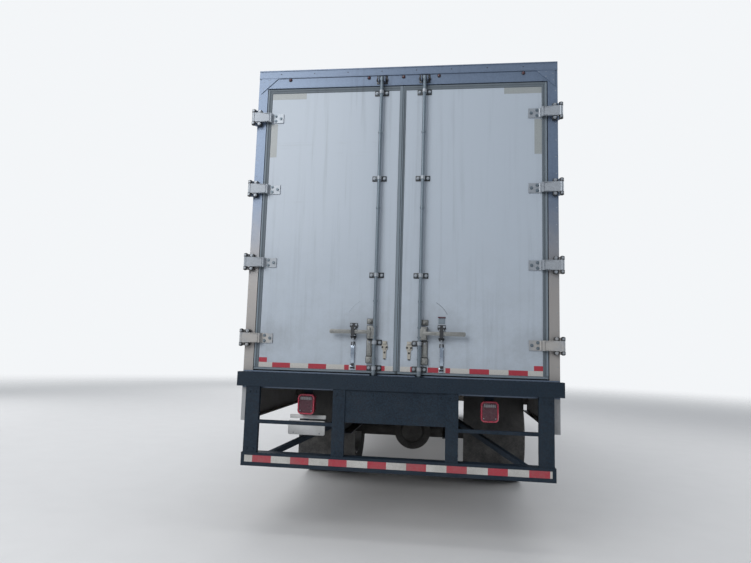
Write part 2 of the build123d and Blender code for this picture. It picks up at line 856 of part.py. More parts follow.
# Exhaust: silencer beside the right rail with a pipe turned out ahead of the rear wheels
silencer_front = y_cab - silencer_back
silencer_rear = silencer_front - silencer_length
with BuildPart() as exhaust:
    with Locations((silencer_x, (silencer_front + silencer_rear) / 2, silencer_height)):
        Cylinder(silencer_radius, silencer_length, rotation=(90, 0, 0))
    fillet(exhaust.edges().filter_by(GeomType.CIRCLE), vessel_corner)
    with BuildLine():
        pipe = FilletPolyline(
            (silencer_x, silencer_rear + 20, silencer_height),
            (silencer_x, silencer_rear - pipe_run, silencer_height),
            (pipe_end_x, silencer_rear - pipe_run, silencer_height - 40),
            radius=pipe_bend,
        )
    with BuildSketch(Plane(origin=pipe @ 0, z_dir=pipe % 0)):
        Circle(pipe_radius)
    sweep(path=pipe)
    for y in (silencer_rear + 150, silencer_front - 150 - strap_width):
        block((rail_half, silencer_x), (y, y + strap_width), (silencer_height + 40, silencer_height + 100))
        with Locations((silencer_x, y + strap_width / 2, silencer_height)):
            Cylinder(silencer_radius + strap_metal, strap_width, rotation=(90, 0, 0))
keep(exhaust, "exhaust")

# Fuel tank on the left and battery box on the right, hung on the rails
tank_x = rail_half + tank_gap + tank_radius
tank_rear = y_cab + tank_ahead
with BuildPart() as tank:
    with Locations((-tank_x, tank_rear + tank_length / 2, tank_height)):
        Cylinder(tank_radius, tank_length, rotation=(90, 0, 0))
    fillet(tank.edges().filter_by(GeomType.CIRCLE), vessel_corner)
    for y in (tank_rear + 120, tank_rear + tank_length - 120 - strap_width):
        block((60 - tank_x, -rail_half), (y, y + strap_width), (tank_height + 60, rail_top - 20))
        with Locations((-tank_x, y + strap_width / 2, tank_height)):
            Cylinder(tank_radius + strap_metal, strap_width, rotation=(90, 0, 0))
keep(tank, "fuel_tank")

with BuildPart() as battery_box:
    block(
        (rail_half, rail_half + battery_size[0]),
        (y_cab + battery_ahead, y_cab + battery_ahead + battery_size[1]),
        (battery_bottom, battery_bottom + battery_size[2]),
    )
    fillet(battery_box.edges().filter_by(Axis.Y).group_by(Axis.X)[-1], battery_corner)
keep(battery_box, "battery_box")

# Cab steps: side plates hung from the cab floor with two treads on each side
step_inner = tank_x + tank_radius + step_gap
step_rear = y_cab + step_ahead
with BuildPart() as steps:
    for s in (-1, 1):
        for y in (step_rear, step_rear + step_length):
            block(pair(s, step_inner, step_outer), (y, y + step_metal), (step_levels[0], cab_floor))
        for z in step_levels:
            block(
                pair(s, step_inner, step_outer),
                (step_rear, step_rear + step_length + step_metal),
                (z, z + tread_metal),
            )
keep(steps, "cab_steps")


def cab_volume(inset):
    """The cab's outer form, shrunk by inset on every face."""
    foot, foot_z = windscreen_foot
    head, head_z = windscreen_head
    slope, drop = roof_corner
    cowl_z = foot_z - cowl_drop
    wing_front = y_cab + foot + cowl_step[0] + seam_gap
    with BuildPart() as volume:
        with BuildSketch(Plane.YZ) as side_view:
            add(
                outline(
                    [
                        (y_cab, cab_floor),
                        (y_cab, cab_roof - drop),
                        (y_cab + slope, cab_roof - roof_camber),
                        (y_cab + head / 2, cab_roof),
                        (y_cab + head - visor_length, cab_roof - roof_camber),
                        (y_cab + head, head_z),
                        (y_cab + foot, foot_z),
                        (y_cab + foot + cowl_step[0], foot_z - cowl_step[1]),
                        (y_cab + cowl_ahead, cowl_z),
                        (y_cab + cowl_ahead, cab_floor + toe_rise),
                        (y_cab + toe_ahead, cab_floor + toe_rise),
                        (y_cab + toe_ahead, cab_floor),
                    ]
                )
            )
            roof_corners = side_view.vertices().filter_by_position(Axis.Y, cab_roof - drop - 1, cab_roof - 1)
            fillet(roof_corners, roof_edge_radius)
            if inset:
                offset(amount=-inset, kind=Kind.INTERSECTION)
        extrude(amount=cab_half_width, both=True)
        with BuildSketch(across(y_cab + cab_to_bumper)) as front_view:
            add(
                outline(
                    [
                        (-cab_half_width, cab_floor),
                        (-cab_half_width, belt),
                        (-cab_half_width + tumblehome, cab_roof),
                        (cab_half_width - tumblehome, cab_roof),
                        (cab_half_width, belt),
                        (cab_half_width, cab_floor),
                    ]
                )
            )
            fillet(front_view.vertices().group_by(Axis.Y)[-1], front_corner)
            if inset:
                offset(amount=-inset, kind=Kind.INTERSECTION)
        extrude(amount=cab_to_bumper, mode=Mode.INTERSECT)
        with BuildSketch(Plane.XY) as plan_view:
            add(
                outline(
                    [
                        (-cab_half_width, y_cab),
                        (cab_half_width, y_cab),
                        (cab_half_width, door_pin[1] + door_leaf),
                        (wing_half_width, wing_front),
                        (wing_half_width, y_cab + cowl_ahead),
                        (-wing_half_width, y_cab + cowl_ahead),
                        (-wing_half_width, wing_front),
                        (-cab_half_width, door_pin[1] + door_leaf),
                    ]
                )
            )
            fillet(plan_view.vertices().group_by(Axis.Y)[0], side_corner)
            if inset:
                offset(amount=-inset, kind=Kind.INTERSECTION)
        extrude(amount=cab_roof, mode=Mode.INTERSECT)
        with BuildSketch(Plane.YZ) as seam_cut:
            lower, middle, upper = hood_seam
            add(
                outline(
                    [
                        (y_cab + lower[0] - seam_gap, 0),
                        (y_cab + lower[0] - seam_gap, lower[1]),
                        (y_cab + middle[0] - seam_gap, middle[1]),
                        (y_cab + upper[0] - seam_gap, upper[1]),
                        (y_cab + cab_to_bumper, upper[1]),
                        (y_cab + cab_to_bumper, 0),
                    ]
                )
            )
            if inset:
                offset(amount=inset, kind=Kind.INTERSECTION)
        ahead_of_seam = extrude(amount=cab_half_width, both=True, mode=Mode.PRIVATE)
        for s in (-1, 1):
            with BuildPart(mode=Mode.PRIVATE) as corner:
                block(pair(s, cowl_half_width - inset, 2 * cab_half_width), (y_cab, y_front), (0, cab_roof))
                add(ahead_of_seam, mode=Mode.INTERSECT)
            add(corner.part, mode=Mode.SUBTRACT)
    return volume.part


def door_outline(grow=0.0):
    """Side view of a cab door, grown by a gap."""
    foot, foot_z = windscreen_foot
    slope = (windscreen_head[0] - foot) / (windscreen_head[1] - foot_z)
    knee = foot_z + (cab_door_front + pillar - foot) / slope
    top_front = foot + slope * (cab_door_top - foot_z) - pillar
    with BuildSketch() as shape:
        add(
            outline(
                [
                    (y_cab + cab_door_rear, cab_door_bottom),
                    (y_cab + cab_door_front, cab_door_bottom),
                    (y_cab + cab_door_front, knee),
                    (y_cab + top_front, cab_door_top),
                    (y_cab + cab_door_rear + 20, cab_door_top),
                ]
            )
        )
        fillet(shape.vertices().group_by(Axis.Y)[0], side_corner / 2)
        if grow:
            offset(amount=grow, kind=Kind.INTERSECTION)
    return shape.sketch


def window_outline():
    """Side view of the opening for a cab door's glass."""
    with BuildSketch() as shape:
        add(door_outline(-window_border))
        with Locations((y_cab + cab_door_front / 2, (belt + window_rise) / 2)):
            Rectangle(2 * cab_door_front, belt + window_rise, mode=Mode.SUBTRACT)
        fillet(shape.vertices(), 25)
    return shape.sketch


foot_side, foot_up, head_side, head_down = screen_border
with BuildSketch() as windscreen_outline:
    add(
        outline(
            [
                (-cab_half_width + foot_side, windscreen_foot[1] + foot_up),
                (-cab_half_width + head_side, windscreen_head[1] - head_down),
                (cab_half_width - head_side, windscreen_head[1] - head_down),
                (cab_half_width - foot_side, windscreen_foot[1] + foot_up),
            ]
        )
    )
    fillet(windscreen_outline.vertices(), 60)

cab_outer = cab_volume(0)
cab_inner = cab_volume(cab_wall)
glass_outer = cab_volume(glass_inset)
glass_inner = cab_volume(glass_inset + glass)

# Columns through the windscreen and the rear window, for the openings and their glass
with BuildPart() as screen_cutters:
    with BuildSketch(across(y_cab + windscreen_head[0] - 150)):
        add(windscreen_outline.sketch)
    extrude(amount=-700)
    with BuildSketch(across(y_cab + 100)):
        with Locations((0, cab_roof - rear_window_drop)):
            RectangleRounded(*rear_window, 60)
    extrude(amount=200)

# Cab shell: hollow, with openings for doors and screens, and hinge lugs with pins for the doors
with BuildPart() as cab:
    add(cab_outer)
    add(cab_inner, mode=Mode.SUBTRACT)
    with BuildSketch(Plane.YZ.offset(-2 * cab_half_width)):
        add(door_outline(door_gap))
    extrude(amount=4 * cab_half_width, mode=Mode.SUBTRACT)
    add(screen_cutters.part, mode=Mode.SUBTRACT)
    for s in (-1, 1):
        for height in door_hinges:
            for z in (height + door_knuckle_height / 2 + 1, height - door_knuckle_height / 2 - 1 - door_lug_height):
                with BuildSketch(Plane.XY.offset(z)):
                    with Locations((s * door_pin[0], door_pin[1])):
                        Circle(door_knuckle)
                    with Locations((s * (door_pin[0] - door_leaf_depth / 2), door_pin[1] + door_leaf / 2)):
                        Rectangle(door_leaf_depth, door_leaf)
                extrude(amount=door_lug_height)
            with Locations((s * door_pin[0], door_pin[1], height)):
                Cylinder(door_pin_radius, door_knuckle_height + door_lug_height)
keep(cab, "cab_shell")

# Windscreen and rear window
with BuildPart() as screens:
    add(glass_outer)
    add(glass_inner, mode=Mode.SUBTRACT)
    add(screen_cutters.part, mode=Mode.INTERSECT)
keep(screens, "cab_glass")

# Cab doors with hinge knuckles, window openings and mirrors on arms, and their glass
mirror_y = y_cab + cab_door_front - mirror_back
mirror_z = belt + mirror_rise
for name, s in sides:
    reach = Plane.YZ.offset(s * cab_half_width / 2)
    with BuildPart() as cab_door:
        add(cab_outer)
        add(cab_inner, mode=Mode.SUBTRACT)
        with BuildSketch(reach):
            add(door_outline())
        extrude(amount=s * cab_half_width, mode=Mode.INTERSECT)
        with BuildSketch(reach):
            add(window_outline())
        extrude(amount=s * cab_half_width, mode=Mode.SUBTRACT)
        for height in door_hinges:
            with BuildSketch(Plane.XY.offset(height - door_knuckle_height / 2)):
                with Locations((s * door_pin[0], door_pin[1])):
                    Circle(door_knuckle)
                with Locations((s * (door_pin[0] - door_leaf_depth / 2), door_pin[1] - door_leaf / 2)):
                    Rectangle(door_leaf_depth, door_leaf)
                with Locations((s * door_pin[0], door_pin[1])):
                    Circle(door_pin_radius + running_clearance, mode=Mode.SUBTRACT)
            extrude(amount=door_knuckle_height)
        for z in (mirror_z - 0.45 * mirror_size[2], mirror_z + 0.45 * mirror_size[2]):
            block(
                pair(s, cab_half_width - cab_wall, mirror_x - mirror_size[0] / 2 + mirror_arm),
                (mirror_y - mirror_arm / 2, mirror_y + mirror_arm / 2),
                (z - mirror_arm / 2, z + mirror_arm / 2),
            )
        with BuildSketch(Plane.XY.offset(mirror_z - mirror_size[2] / 2)):
            with Locations((s * mirror_x, mirror_y)):
                RectangleRounded(mirror_size[0], mirror_size[1], mirror_corner)
        extrude(amount=mirror_size[2])
    keep(cab_door, f"cab_door_{name}")
    with BuildPart() as door_glass:
        add(glass_outer)
        add(glass_inner, mode=Mode.SUBTRACT)
        with BuildSketch(reach):
            add(window_outline())
        extrude(amount=s * cab_half_width, mode=Mode.INTERSECT)
    keep(door_glass, f"door_glass_{name}")

# Cab interior: two seats and a dashboard with the steering column
cushion_z = cab_floor + cushion_height
dash_rear = y_cab + dash_ahead
dash_bottom = cab_floor + dash_low
column_start = Vector(-seat_x, y_cab + column_foot[0], column_foot[1])
column_end = Vector(-seat_x, y_cab + wheel_centre[0], wheel_centre[1])
column_axis = (column_end - column_start).normalized()
with BuildPart() as interior:
    for s in (-1, 1):
        with BuildSketch(Plane.YZ.offset(s * seat_x - seat_width / 2)) as seat:
            add(
                outline(
                    [
                        (y_cab + 260, cab_floor + cab_wall),
                        (y_cab + 700, cab_floor + cab_wall),
                        (y_cab + 740, cushion_z),
                        (y_cab + 720, cushion_z + 70),
                        (y_cab + 330, cushion_z + 40),
                        (y_cab + 180, cushion_z + 720),
                        (y_cab + 80, cushion_z + 700),
                        (y_cab + 200, cushion_z),
                    ]
                )
            )
            fillet(seat.vertices().group_by(Axis.Y)[-2:], 35)
        extrude(amount=seat_width)
    with BuildSketch(Plane.YZ.offset(-dash_half_width)):
        add(
            outline(
                [
                    (dash_rear, dash_bottom + 80),
                    (dash_rear, dash_bottom + 260),
                    (dash_rear + 50, dash_bottom + 340),
                    (dash_rear + 140, dash_bottom + dash_height),
                    (dash_rear + dash_depth, dash_bottom + 200),
                    (dash_rear + dash_depth, dash_bottom),
                ]
            )
        )
    extrude(amount=2 * dash_half_width)
    with BuildSketch(Plane(origin=column_start, z_dir=column_axis)):
        Circle(column_radius)
    extrude(amount=(column_end - column_start).length - 2 * ring_radius - 10)
keep(interior, "cab_interior")

# Steering wheel: ring, two spokes and a hub on the column
ring_plane = Plane(
    origin=column_end + Vector(wheel_ring, 0, 0),
    x_dir=(1, 0, 0),
    z_dir=column_axis.cross(Vector(1, 0, 0)),
)
level = Plane(origin=column_end, z_dir=column_axis)
with BuildPart() as steering_wheel:
    with BuildSketch(ring_plane):
        Circle(ring_radius)
    revolve(axis=Axis(column_end, column_axis))
    with BuildSketch(level.offset(-0.8 * ring_radius)):
        Circle(wheel_hub)
        Rectangle(2 * wheel_ring, spoke_width)
    extrude(amount=1.4 * ring_radius)
    with BuildSketch(level.offset(-2.4 * ring_radius)):
        Circle(column_radius)
    extrude(amount=2 * ring_radius)
keep(steering_wheel, "steering_wheel")


def hood_volume(inset):
    """Hood and fenders as one form, shrunk by inset; the rear and the underside stay open."""
    past = 20.0 if inset else 0.0
    rear = y_cab + hood_rear - past
    front = y_cab + hood_front - inset
    share = past / (hood_front - hood_rear)
    half_rear = hood_half_rear + share * (hood_half_rear - hood_half_front)
    top_rear = hood_top_rear + share * hood_fall
    low = fender_front_bottom - (100 if inset else 0)
    half = fender_half_width - inset
    crown = fender_top - inset
    with BuildPart() as volume:
        # place, half width, top, corner radius
        for y, half_width, top, corner in (
            (rear, half_rear - inset, top_rear - inset, hood_corner[0] - inset),
            (front, hood_half_front - inset, hood_top_front - inset, hood_corner[1] - inset),
        ):
            with BuildSketch(across(y)) as section:
                with Locations((0, (top + low) / 2)):
                    Rectangle(2 * half_width, top - low)
                fillet(section.vertices().group_by(Axis.Y)[-1], corner)
        loft(ruled=True)
        for s in (-1, 1):
            nose = [(s * (half - inside), front - back) for back, inside in fender_sweep]
            inner_x = s * hood_half_front / 2
            with BuildPart(mode=Mode.PRIVATE) as fender:
                with BuildSketch(Plane.XY.offset(low if inset else fender_rear_bottom)):
                    add(outline([(inner_x, rear), (s * half, rear), *nose, (inner_x, front)]))
                extrude(amount=2 * fender_top)
                with BuildSketch(across(rear - 10)) as section:
                    add(
                        outline(
                            [
                                (inner_x, 0),
                                (inner_x, crown + fender_crown),
                                (s * (half - 2 * fender_corner), crown + fender_crown / 2),
                                (s * half, crown),
                                (s * half, 0),
                            ]
                        )
                    )
                    fillet(section.vertices().filter_by_position(Axis.Y, crown - 1, crown + 1), fender_corner - inset)
                extrude(amount=2 * hood_front, dir=(0, hood_front - hood_rear, -fender_fall), mode=Mode.INTERSECT)
            add(fender.part)
    return volume.part


# Hood and fenders: one shell that tilts forward, with arches, grille opening and lamp openings
lower, middle, upper = hood_seam
lamp_y = (y_cab + hood_front - lamp_depth - 4, y_cab + hood_front - 4)
with BuildPart() as hood:
    add(hood_volume(0))
    add(hood_volume(hood_skin), mode=Mode.SUBTRACT)
    with BuildSketch(Plane.YZ):
        add(
            outline(
                [
                    (y_cab, lower[1]),
                    (y_cab + lower[0], lower[1]),
                    (y_cab + middle[0], middle[1]),
                    (y_cab + upper[0], upper[1]),
                    (y_cab + upper[0], cab_roof),
                    (y_cab, cab_roof),
                ]
            )
        )
    extrude(amount=2 * fender_half_width, both=True, mode=Mode.SUBTRACT)
    with Locations((0, y_front_axle, axle_z)):
        Cylinder(arch_radius, 3 * fender_half_width, rotation=(0, 90, 0), mode=Mode.SUBTRACT)
    block(
        (-2 * fender_half_width, 2 * fender_half_width),
        (y_front_axle, y_front),
        (0, fender_front_bottom),
        mode=Mode.SUBTRACT,
    )
    block((-900, 900), (y_cab, y_front), (0, fender_front_bottom), mode=Mode.SUBTRACT)
    for s in (-1, 1):
        block(pair(s, *lamp_x), lamp_y, lamp_z, mode=Mode.SUBTRACT)
    block(
        (-grille_half_width, grille_half_width),
        (y_cab + hood_front - 2 * hood_skin, y_front),
        (grille_low, grille_low + grille_height),
        mode=Mode.SUBTRACT,
    )
    lug_radius, lug_metal = hood_lug
    lug_x = rail_half + hinge_plate + hood_lug_gap
    for s in (-1, 1):
        with BuildSketch(Plane.YZ.offset(s * lug_x)):
            with Locations((pivot_y, pivot_z)):
                Circle(lug_radius)
            add(
                outline(
                    [
                        (pivot_y, pivot_z - lug_radius / 2),
                        (y_cab + hood_front - hood_skin / 2, fender_front_bottom),
                        (y_cab + hood_front - hood_skin / 2, grille_low),
                        (pivot_y - lug_radius / 2, pivot_z + lug_radius / 2),
                    ]
                )
            )
            with Locations((pivot_y, pivot_z)):
                Circle(hood_pin_radius + running_clearance, mode=Mode.SUBTRACT)
        extrude(amount=s * lug_metal)
keep(hood, "hood")

# Grille: a frame with bars between, set in the hood's front
grille_top = grille_low + grille_height
grille_front = y_cab + hood_front
inner_half = grille_half_width - grille_border
with BuildPart() as grille:
    with BuildSketch(across(grille_front - hood_skin)):
        with Locations((0, (grille_low + grille_top) / 2)):
            Rectangle(2 * grille_half_width, grille_height)
            Rectangle(2 * inner_half, grille_height - 2 * grille_border, mode=Mode.SUBTRACT)
    extrude(amount=-hood_skin - 12)
    pitch = (grille_height - 2 * grille_border) / (grille_bars + 1)
    for i in range(grille_bars):
        z = grille_low + grille_border + pitch * (i + 1)
        block(
            (-inner_half, inner_half),
            (grille_front - hood_skin + 5, grille_front + 8),
            (z - grille_bar / 2, z + grille_bar / 2),
        )
keep(grille, "grille")

# Head lamps on the fender fronts
with BuildPart() as headlamps:
    for s in (-1, 1):
        block(pair(s, *lamp_x), lamp_y, lamp_z)
keep(headlamps, "headlamps")

# Load floor, its bearers, and the long sills that carry them on the rails
with BuildPart() as floor:
    block((-inner_side, inner_side), (floor_rear, floor_front), (sill_height - deck, sill_height))
keep(floor, "box_floor")

sill_top = under_body
with BuildPart() as bearers:
    pitch = (floor_front - floor_rear - bearer_width) / (bearer_count - 1)
    for i in range(bearer_count):
        y = floor_rear + i * pitch
        block((-inner_side, inner_side), (y, y + bearer_width), (sill_top, sill_height - deck))
keep(bearers, "floor_bearers")

with BuildPart() as sills:
    for s in (-1, 1):
        block(pair(s, rail_half - rail_flange, rail_half), (rail_rear, floor_front), (rail_top, sill_top))
keep(sills, "body_sills")

# Side walls: bottom rail, recessed panel and top rail in one section
wall_top = roof_top - roof_sheet
panel_x = side - panel_recess
with BuildPart() as box_sides:
    for s in (-1, 1):
        with BuildSketch(across(floor_rear)):
            add(
                outline(
                    [
                        (s * inner_side, under_body),
                        (s * side, under_body),
                        (s * side, under_body + bottom_rail),
                        (s * panel_x, under_body + bottom_rail + panel_recess),
                        (s * panel_x, wall_top - top_rail - panel_recess),
                        (s * side, wall_top - top_rail),
                        (s * side, wall_top),
                        (s * inner_side, wall_top),
                    ]
                )
            )
        extrude(amount=floor_rear - floor_front)
keep(box_sides, "box_sides")

# Front wall with rounded corners
with BuildPart() as front_wall:
    with BuildSketch(Plane.XY.offset(under_body)) as plan:
        with Locations((0, y_body_front - front_wall_depth / 2)):
            Rectangle(body_width, front_wall_depth)
        fillet(plan.vertices().group_by(Axis.Y)[-1], front_corner_radius)
        with Locations((0, y_body_front - front_wall_depth / 2 - wall)):
            Rectangle(2 * (inner_side - front_return), front_wall_depth, mode=Mode.SUBTRACT)
    extrude(amount=wall_top - under_body)
keep(front_wall, "box_front_wall")

# Roof
with BuildPart() as roof:
    with BuildSketch(Plane.XY.offset(wall_top)) as plan:
        with Locations((0, (floor_rear + y_body_front) / 2)):
            Rectangle(body_width, y_body_front - floor_rear)
        fillet(plan.vertices().group_by(Axis.Y)[-1], front_corner_radius)
    extrude(amount=roof_sheet)
    chamfer(roof.edges().group_by(Axis.Z)[-1].filter_by(Axis.Y), roof_edge)
keep(roof, "box_roof")

# Rear frame: posts, header with its cap, sill, corner plates, rod keepers, and hinge lugs with pins
with BuildPart() as rear_frame:
    block((-side, side), (y_rear_face, floor_rear), (under_body, roof_top))
    block(
        (-post_inner, post_inner),
        (y_rear_face - post_depth, floor_rear + post_depth),
        (sill_height, header_bottom),
        mode=Mode.SUBTRACT,
    )
    block((-side, side), (y_rear_face - cap_proud, y_rear_face), (roof_top - cap_height, roof_top))
    for s in (-1, 1):
        corner_x = side - gusset_inset
        corner_z = roof_top - gusset_drop
        with BuildSketch(across(y_rear_face)):
            add(
                outline(
                    [
                        (s * (corner_x - gusset_size[0]), corner_z),
                        (s * corner_x, corner_z),
                        (s * corner_x, corner_z - gusset_size[1]),
                    ]
                )
            )
        extrude(amount=gusset_metal)
        for middle in hinge_heights:
            for z in (middle + strap_height / 2 + lug_gap, middle - strap_height / 2 - lug_gap - lug_height):
                with BuildSketch(Plane.XY.offset(z)):
                    add(
                        outline(
                            [
                                (s * (side - lug_foot), y_rear_face),
                                (s * side, y_rear_face),
                                (s * (pin_x + knuckle_radius), pin_y),
                                (s * (pin_x - knuckle_radius), pin_y),
                            ]
                        )
                    )
                    with Locations((s * pin_x, pin_y)):
                        Circle(knuckle_radius)
                extrude(amount=lug_height)
            with Locations((s * pin_x, pin_y, middle)):
                Cylinder(pin_radius, strap_height + 2 * lug_gap + lug_height)
        for edge in (-1, 1):
            cheek = rod_radius + keeper_gap
            block(
                pair(s, rod_x + edge * cheek, rod_x + edge * (cheek + keeper_metal)),
                (rod_y - rod_radius, y_rear_face),
                (header_bottom + rod_past_header - keeper_height, header_bottom + rod_past_header),
            )
keep(rear_frame, "rear_frame")

# Rear doors: panel with a lower step all round for the seal
door_bottom = sill_height + sill_gap
door_top = header_bottom - seal_gap - 1
door_outer = post_inner - seal_gap
for name, s in sides:
    with BuildPart() as rear_door:
        block(
            pair(s, centre_gap, door_outer),
            (y_rear_face + seal_recess, y_rear_face + door_thickness),
            (door_bottom, door_top),
        )
        block(
            pair(s, centre_gap + centre_seal, door_outer - seal_width),
            (y_rear_face, y_rear_face + door_thickness),
            (door_bottom + centre_seal, door_top - seal_width),
        )
    keep(rear_door, f"rear_door_{name}")

# Hinge straps: a knuckle round the pin, a raised leaf and a flat end on the door
strap_end = side - strap_reach
strap_bend = side - strap_step
for name, s in sides:
    with BuildPart() as straps:
        for middle in hinge_heights:
            with BuildSketch(Plane.XY.offset(middle - strap_height / 2)):
                add(
                    outline(
                        [
                            (s * strap_end, y_rear_face),
                            (s * strap_end, y_rear_face - strap_thickness),
                            (s * (strap_bend - 12), y_rear_face - strap_thickness),
                            (s * strap_bend, pin_y + 4),
                            (s * pin_x, pin_y - knuckle_radius + 2),
                            (s * pin_x, pin_y + 4),
                            (s * (strap_bend + 10), pin_y + 4 + strap_thickness),
                            (s * strap_bend, y_rear_face),
                        ]
                    )
                )
                with Locations((s * pin_x, pin_y)):
                    Circle(knuckle_radius)
                    Circle(pin_radius + running_clearance, mode=Mode.SUBTRACT)
            extrude(amount=strap_height)
    keep(straps, f"hinge_straps_{name}")

# Lock gear on each door: rod in its guides, cams, handle with hub, and the plates beside them
rod_low = beam_top + rod_clearance
rod_high = header_bottom + rod_past_header
guide_heights = [sill_height + z for z in low_guides] + [roof_top - drop for drop in high_guides]
guide_width, guide_height, guide_metal = guide_size
hub_from, hub_to, hub_height = hub_block
handle_z = sill_height + handle_height
handle_y = rod_y - rod_radius
# from, to, low, high, depth, all measured from the middle, the sill and the door
plates = (hub_lug, gear_plate, gear_boss, retainer, holdback_foot, holdback_strap, holdback_hook, stop_head, stop_tail)
for name, s in sides:
    with BuildPart() as lock_gear:
        with Locations((s * rod_x, rod_y, (rod_low + rod_high) / 2)):
            Cylinder(rod_radius, rod_high - rod_low)
        with BuildSketch(mode=Mode.PRIVATE) as saddle:
            Circle(rod_radius + saddle_metal)
            with Locations((0, rod_behind / 2)):
                Rectangle(2 * (rod_radius + saddle_metal), rod_behind)
        for z in guide_heights:
            block(
                pair(s, rod_x - guide_width / 2, rod_x + guide_width / 2),
                (y_rear_face - guide_metal, y_rear_face),
                (z - guide_height / 2, z + guide_height / 2),
            )
            with BuildSketch(Plane(origin=(s * rod_x, rod_y, z - saddle_height / 2))):
                add(saddle.sketch)
            extrude(amount=saddle_height)
        cam_height, cam_width = cam_size
        with Locations((s * rod_x, rod_y, rod_high - cam_height / 2)):
            Box(cam_width, 2 * rod_radius + 4, cam_height)
        for low_x, high_x, low, high, depth in plates:
            block(
                pair(s, low_x, high_x),
                (y_rear_face - depth, y_rear_face),
                (sill_height + low, sill_height + high),
            )
        block(
            pair(s, rod_x, hub_to),
            (handle_y, rod_y + rod_radius),
            (handle_z - hub_height / 2, handle_z + hub_height / 2),
        )
        block(
            pair(s, hub_from, handle_end),
            (handle_y - handle_section[0], handle_y),
            (handle_z - handle_section[1] / 2, handle_z + handle_section[1] / 2),
        )
        cheek_from, cheek_to, cheek_low, cheek_high = retainer_cheeks
        for z in (cheek_low, cheek_high - 8):
            block(
                pair(s, cheek_from, cheek_to),
                (handle_y - handle_section[0] - 6, y_rear_face),
                (sill_height + z, sill_height + z + 8),
            )
    keep(lock_gear, f"lock_gear_{name}")

# Rear beam and underride guard: posts, bars, braces, hangers to the rails, and the lower rod keepers
guard_y = y_rear_face - rear_reach
guard_half = side - guard_inset
guard_low = sill_height - guard_top - guard_height
guard_high = guard_low + guard_height
beam_low = beam_top - beam_height
beam_half = side + beam_overhang
post_y = (guard_y + post_set_back, guard_y + guard_metal)
inner_post = (rail_half - inner_post_lap, rail_half - inner_post_lap + inner_post_width)
outer_post = (guard_half - outer_post_inset - outer_post_width, guard_half - outer_post_inset)
with BuildPart() as guard:
    block((-beam_half, beam_half), (guard_y, y_rear_face), (beam_low, beam_top))
    block((-guard_half, guard_half), (guard_y, guard_y + guard_height), (guard_low, guard_high))
    block(
        (-inner_post[0], inner_post[0]),
        (post_y[0] + guard_plate_metal, post_y[0] + 2 * guard_plate_metal),
        (sill_height - guard_plate_drop, beam_low),
    )
    for s in (-1, 1):
        for limits in (inner_post, outer_post):
            block(pair(s, *limits), post_y, (guard_high, beam_low))
        block(
            pair(s, inner_post[1], outer_post[0]),
            post_y,
            (sill_height - mid_bar[1], sill_height - mid_bar[0]),
        )
        block(
            pair(s, rail_half - hanger_metal, rail_half),
            (post_y[1], rail_rear),
            (rail_bottom, rail_top - hanger_metal),
        )
        foot = Vector(s * (guard_half - brace_inset), guard_y + guard_height / 2, guard_high - brace_size)
        head = Vector(s * rail_half, y_rear_face + brace_reach, rail_bottom + brace_rise)
        with BuildSketch(Plane(origin=foot, z_dir=head - foot)):
            Rectangle(brace_size, brace_size)
        extrude(amount=(head - foot).length + 2 * brace_size)
        block(
            pair(s, rail_half - 3 * brace_size, rail_half),
            (head.Y - 4 * brace_size, head.Y + 4 * brace_size),
            (rail_bottom, rail_top),
            mode=Mode.SUBTRACT,
        )
        for edge in (-1, 1):
            cheek = rod_radius + keeper_gap
            block(
                pair(s, rod_x + edge * cheek, rod_x + edge * (cheek + keeper_metal)),
                (rod_y - rod_radius, y_rear_face),
                (beam_top, door_bottom - seal_gap),
            )
keep(guard, "underride_guard")

# Tail lamps on arms under the rear sill, and the hanger of the number plate
lamp_width, lamp_thickness, lamp_height = tail_lamp_size
lamp_middle = sill_height - tail_lamp_drop
with BuildPart() as tail_lamps:
    for s in (-1, 1):
        with BuildSketch(across(y_rear_face + tail_lamp_in)):
            with Locations((s * tail_lamp_x, lamp_middle)):
                RectangleRounded(lamp_width, lamp_height, lamp_corner)
        extrude(amount=-lamp_thickness)
        arm_y = y_rear_face + tail_lamp_in + lamp_arm[1]
        block(
            pair(s, tail_lamp_x - lamp_arm[0], tail_lamp_x + lamp_arm[0]),
            (arm_y, arm_y + lamp_arm[1]),
            (lamp_middle, under_body),
        )
    block(
        (-plate_x - plate_arm[0] / 2, -plate_x + plate_arm[0] / 2),
        (y_rear_face + plate_in, y_rear_face + plate_in + plate_arm[1]),
        (sill_height - plate_drop, under_body),
    )
keep(tail_lamps, "tail_lamps")

# Mud flaps behind the rear wheels
flap_y = y_rear_face + flap_place
flap_x = (rear_track_half - dual_spacing / 2 - tyre_width / 2 - flap_lap, side - flap_inset)
with BuildPart() as flaps:
    for s in (-1, 1):
        block(pair(s, *flap_x), (flap_y, flap_y + flap_metal), (flap_bottom, under_body))
keep(flaps, "mud_flaps")

# Side skirts: thin webs under the side walls, open round the rear wheels
skirt_low = under_body - skirt_drop
skirt_y = (y_rear_face, y_body_front - skirt_front_gap)
opening = tyre_radius + skirt_opening
with BuildPart() as skirts:
    for s in (-1, 1):
        block(pair(s, side - skirt_metal, side), skirt_y, (skirt_low, under_body))
        block(pair(s, side - skirt_flange, side), skirt_y, (skirt_low, skirt_low + skirt_metal))
        block(
            pair(s, side - skirt_flange, side),
            (y_rear_face, y_rear_face + skirt_metal),
            (skirt_low, under_body),
        )
    block(
        (-body_width, body_width),
        (y_rear_axle - opening, y_rear_axle + opening),
        (0, under_body - skirt_above_wheel),
        mode=Mode.SUBTRACT,
    )
keep(skirts, "side_skirts")
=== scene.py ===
import bmesh
import bpy
import json
import math
from mathutils import Matrix, Vector


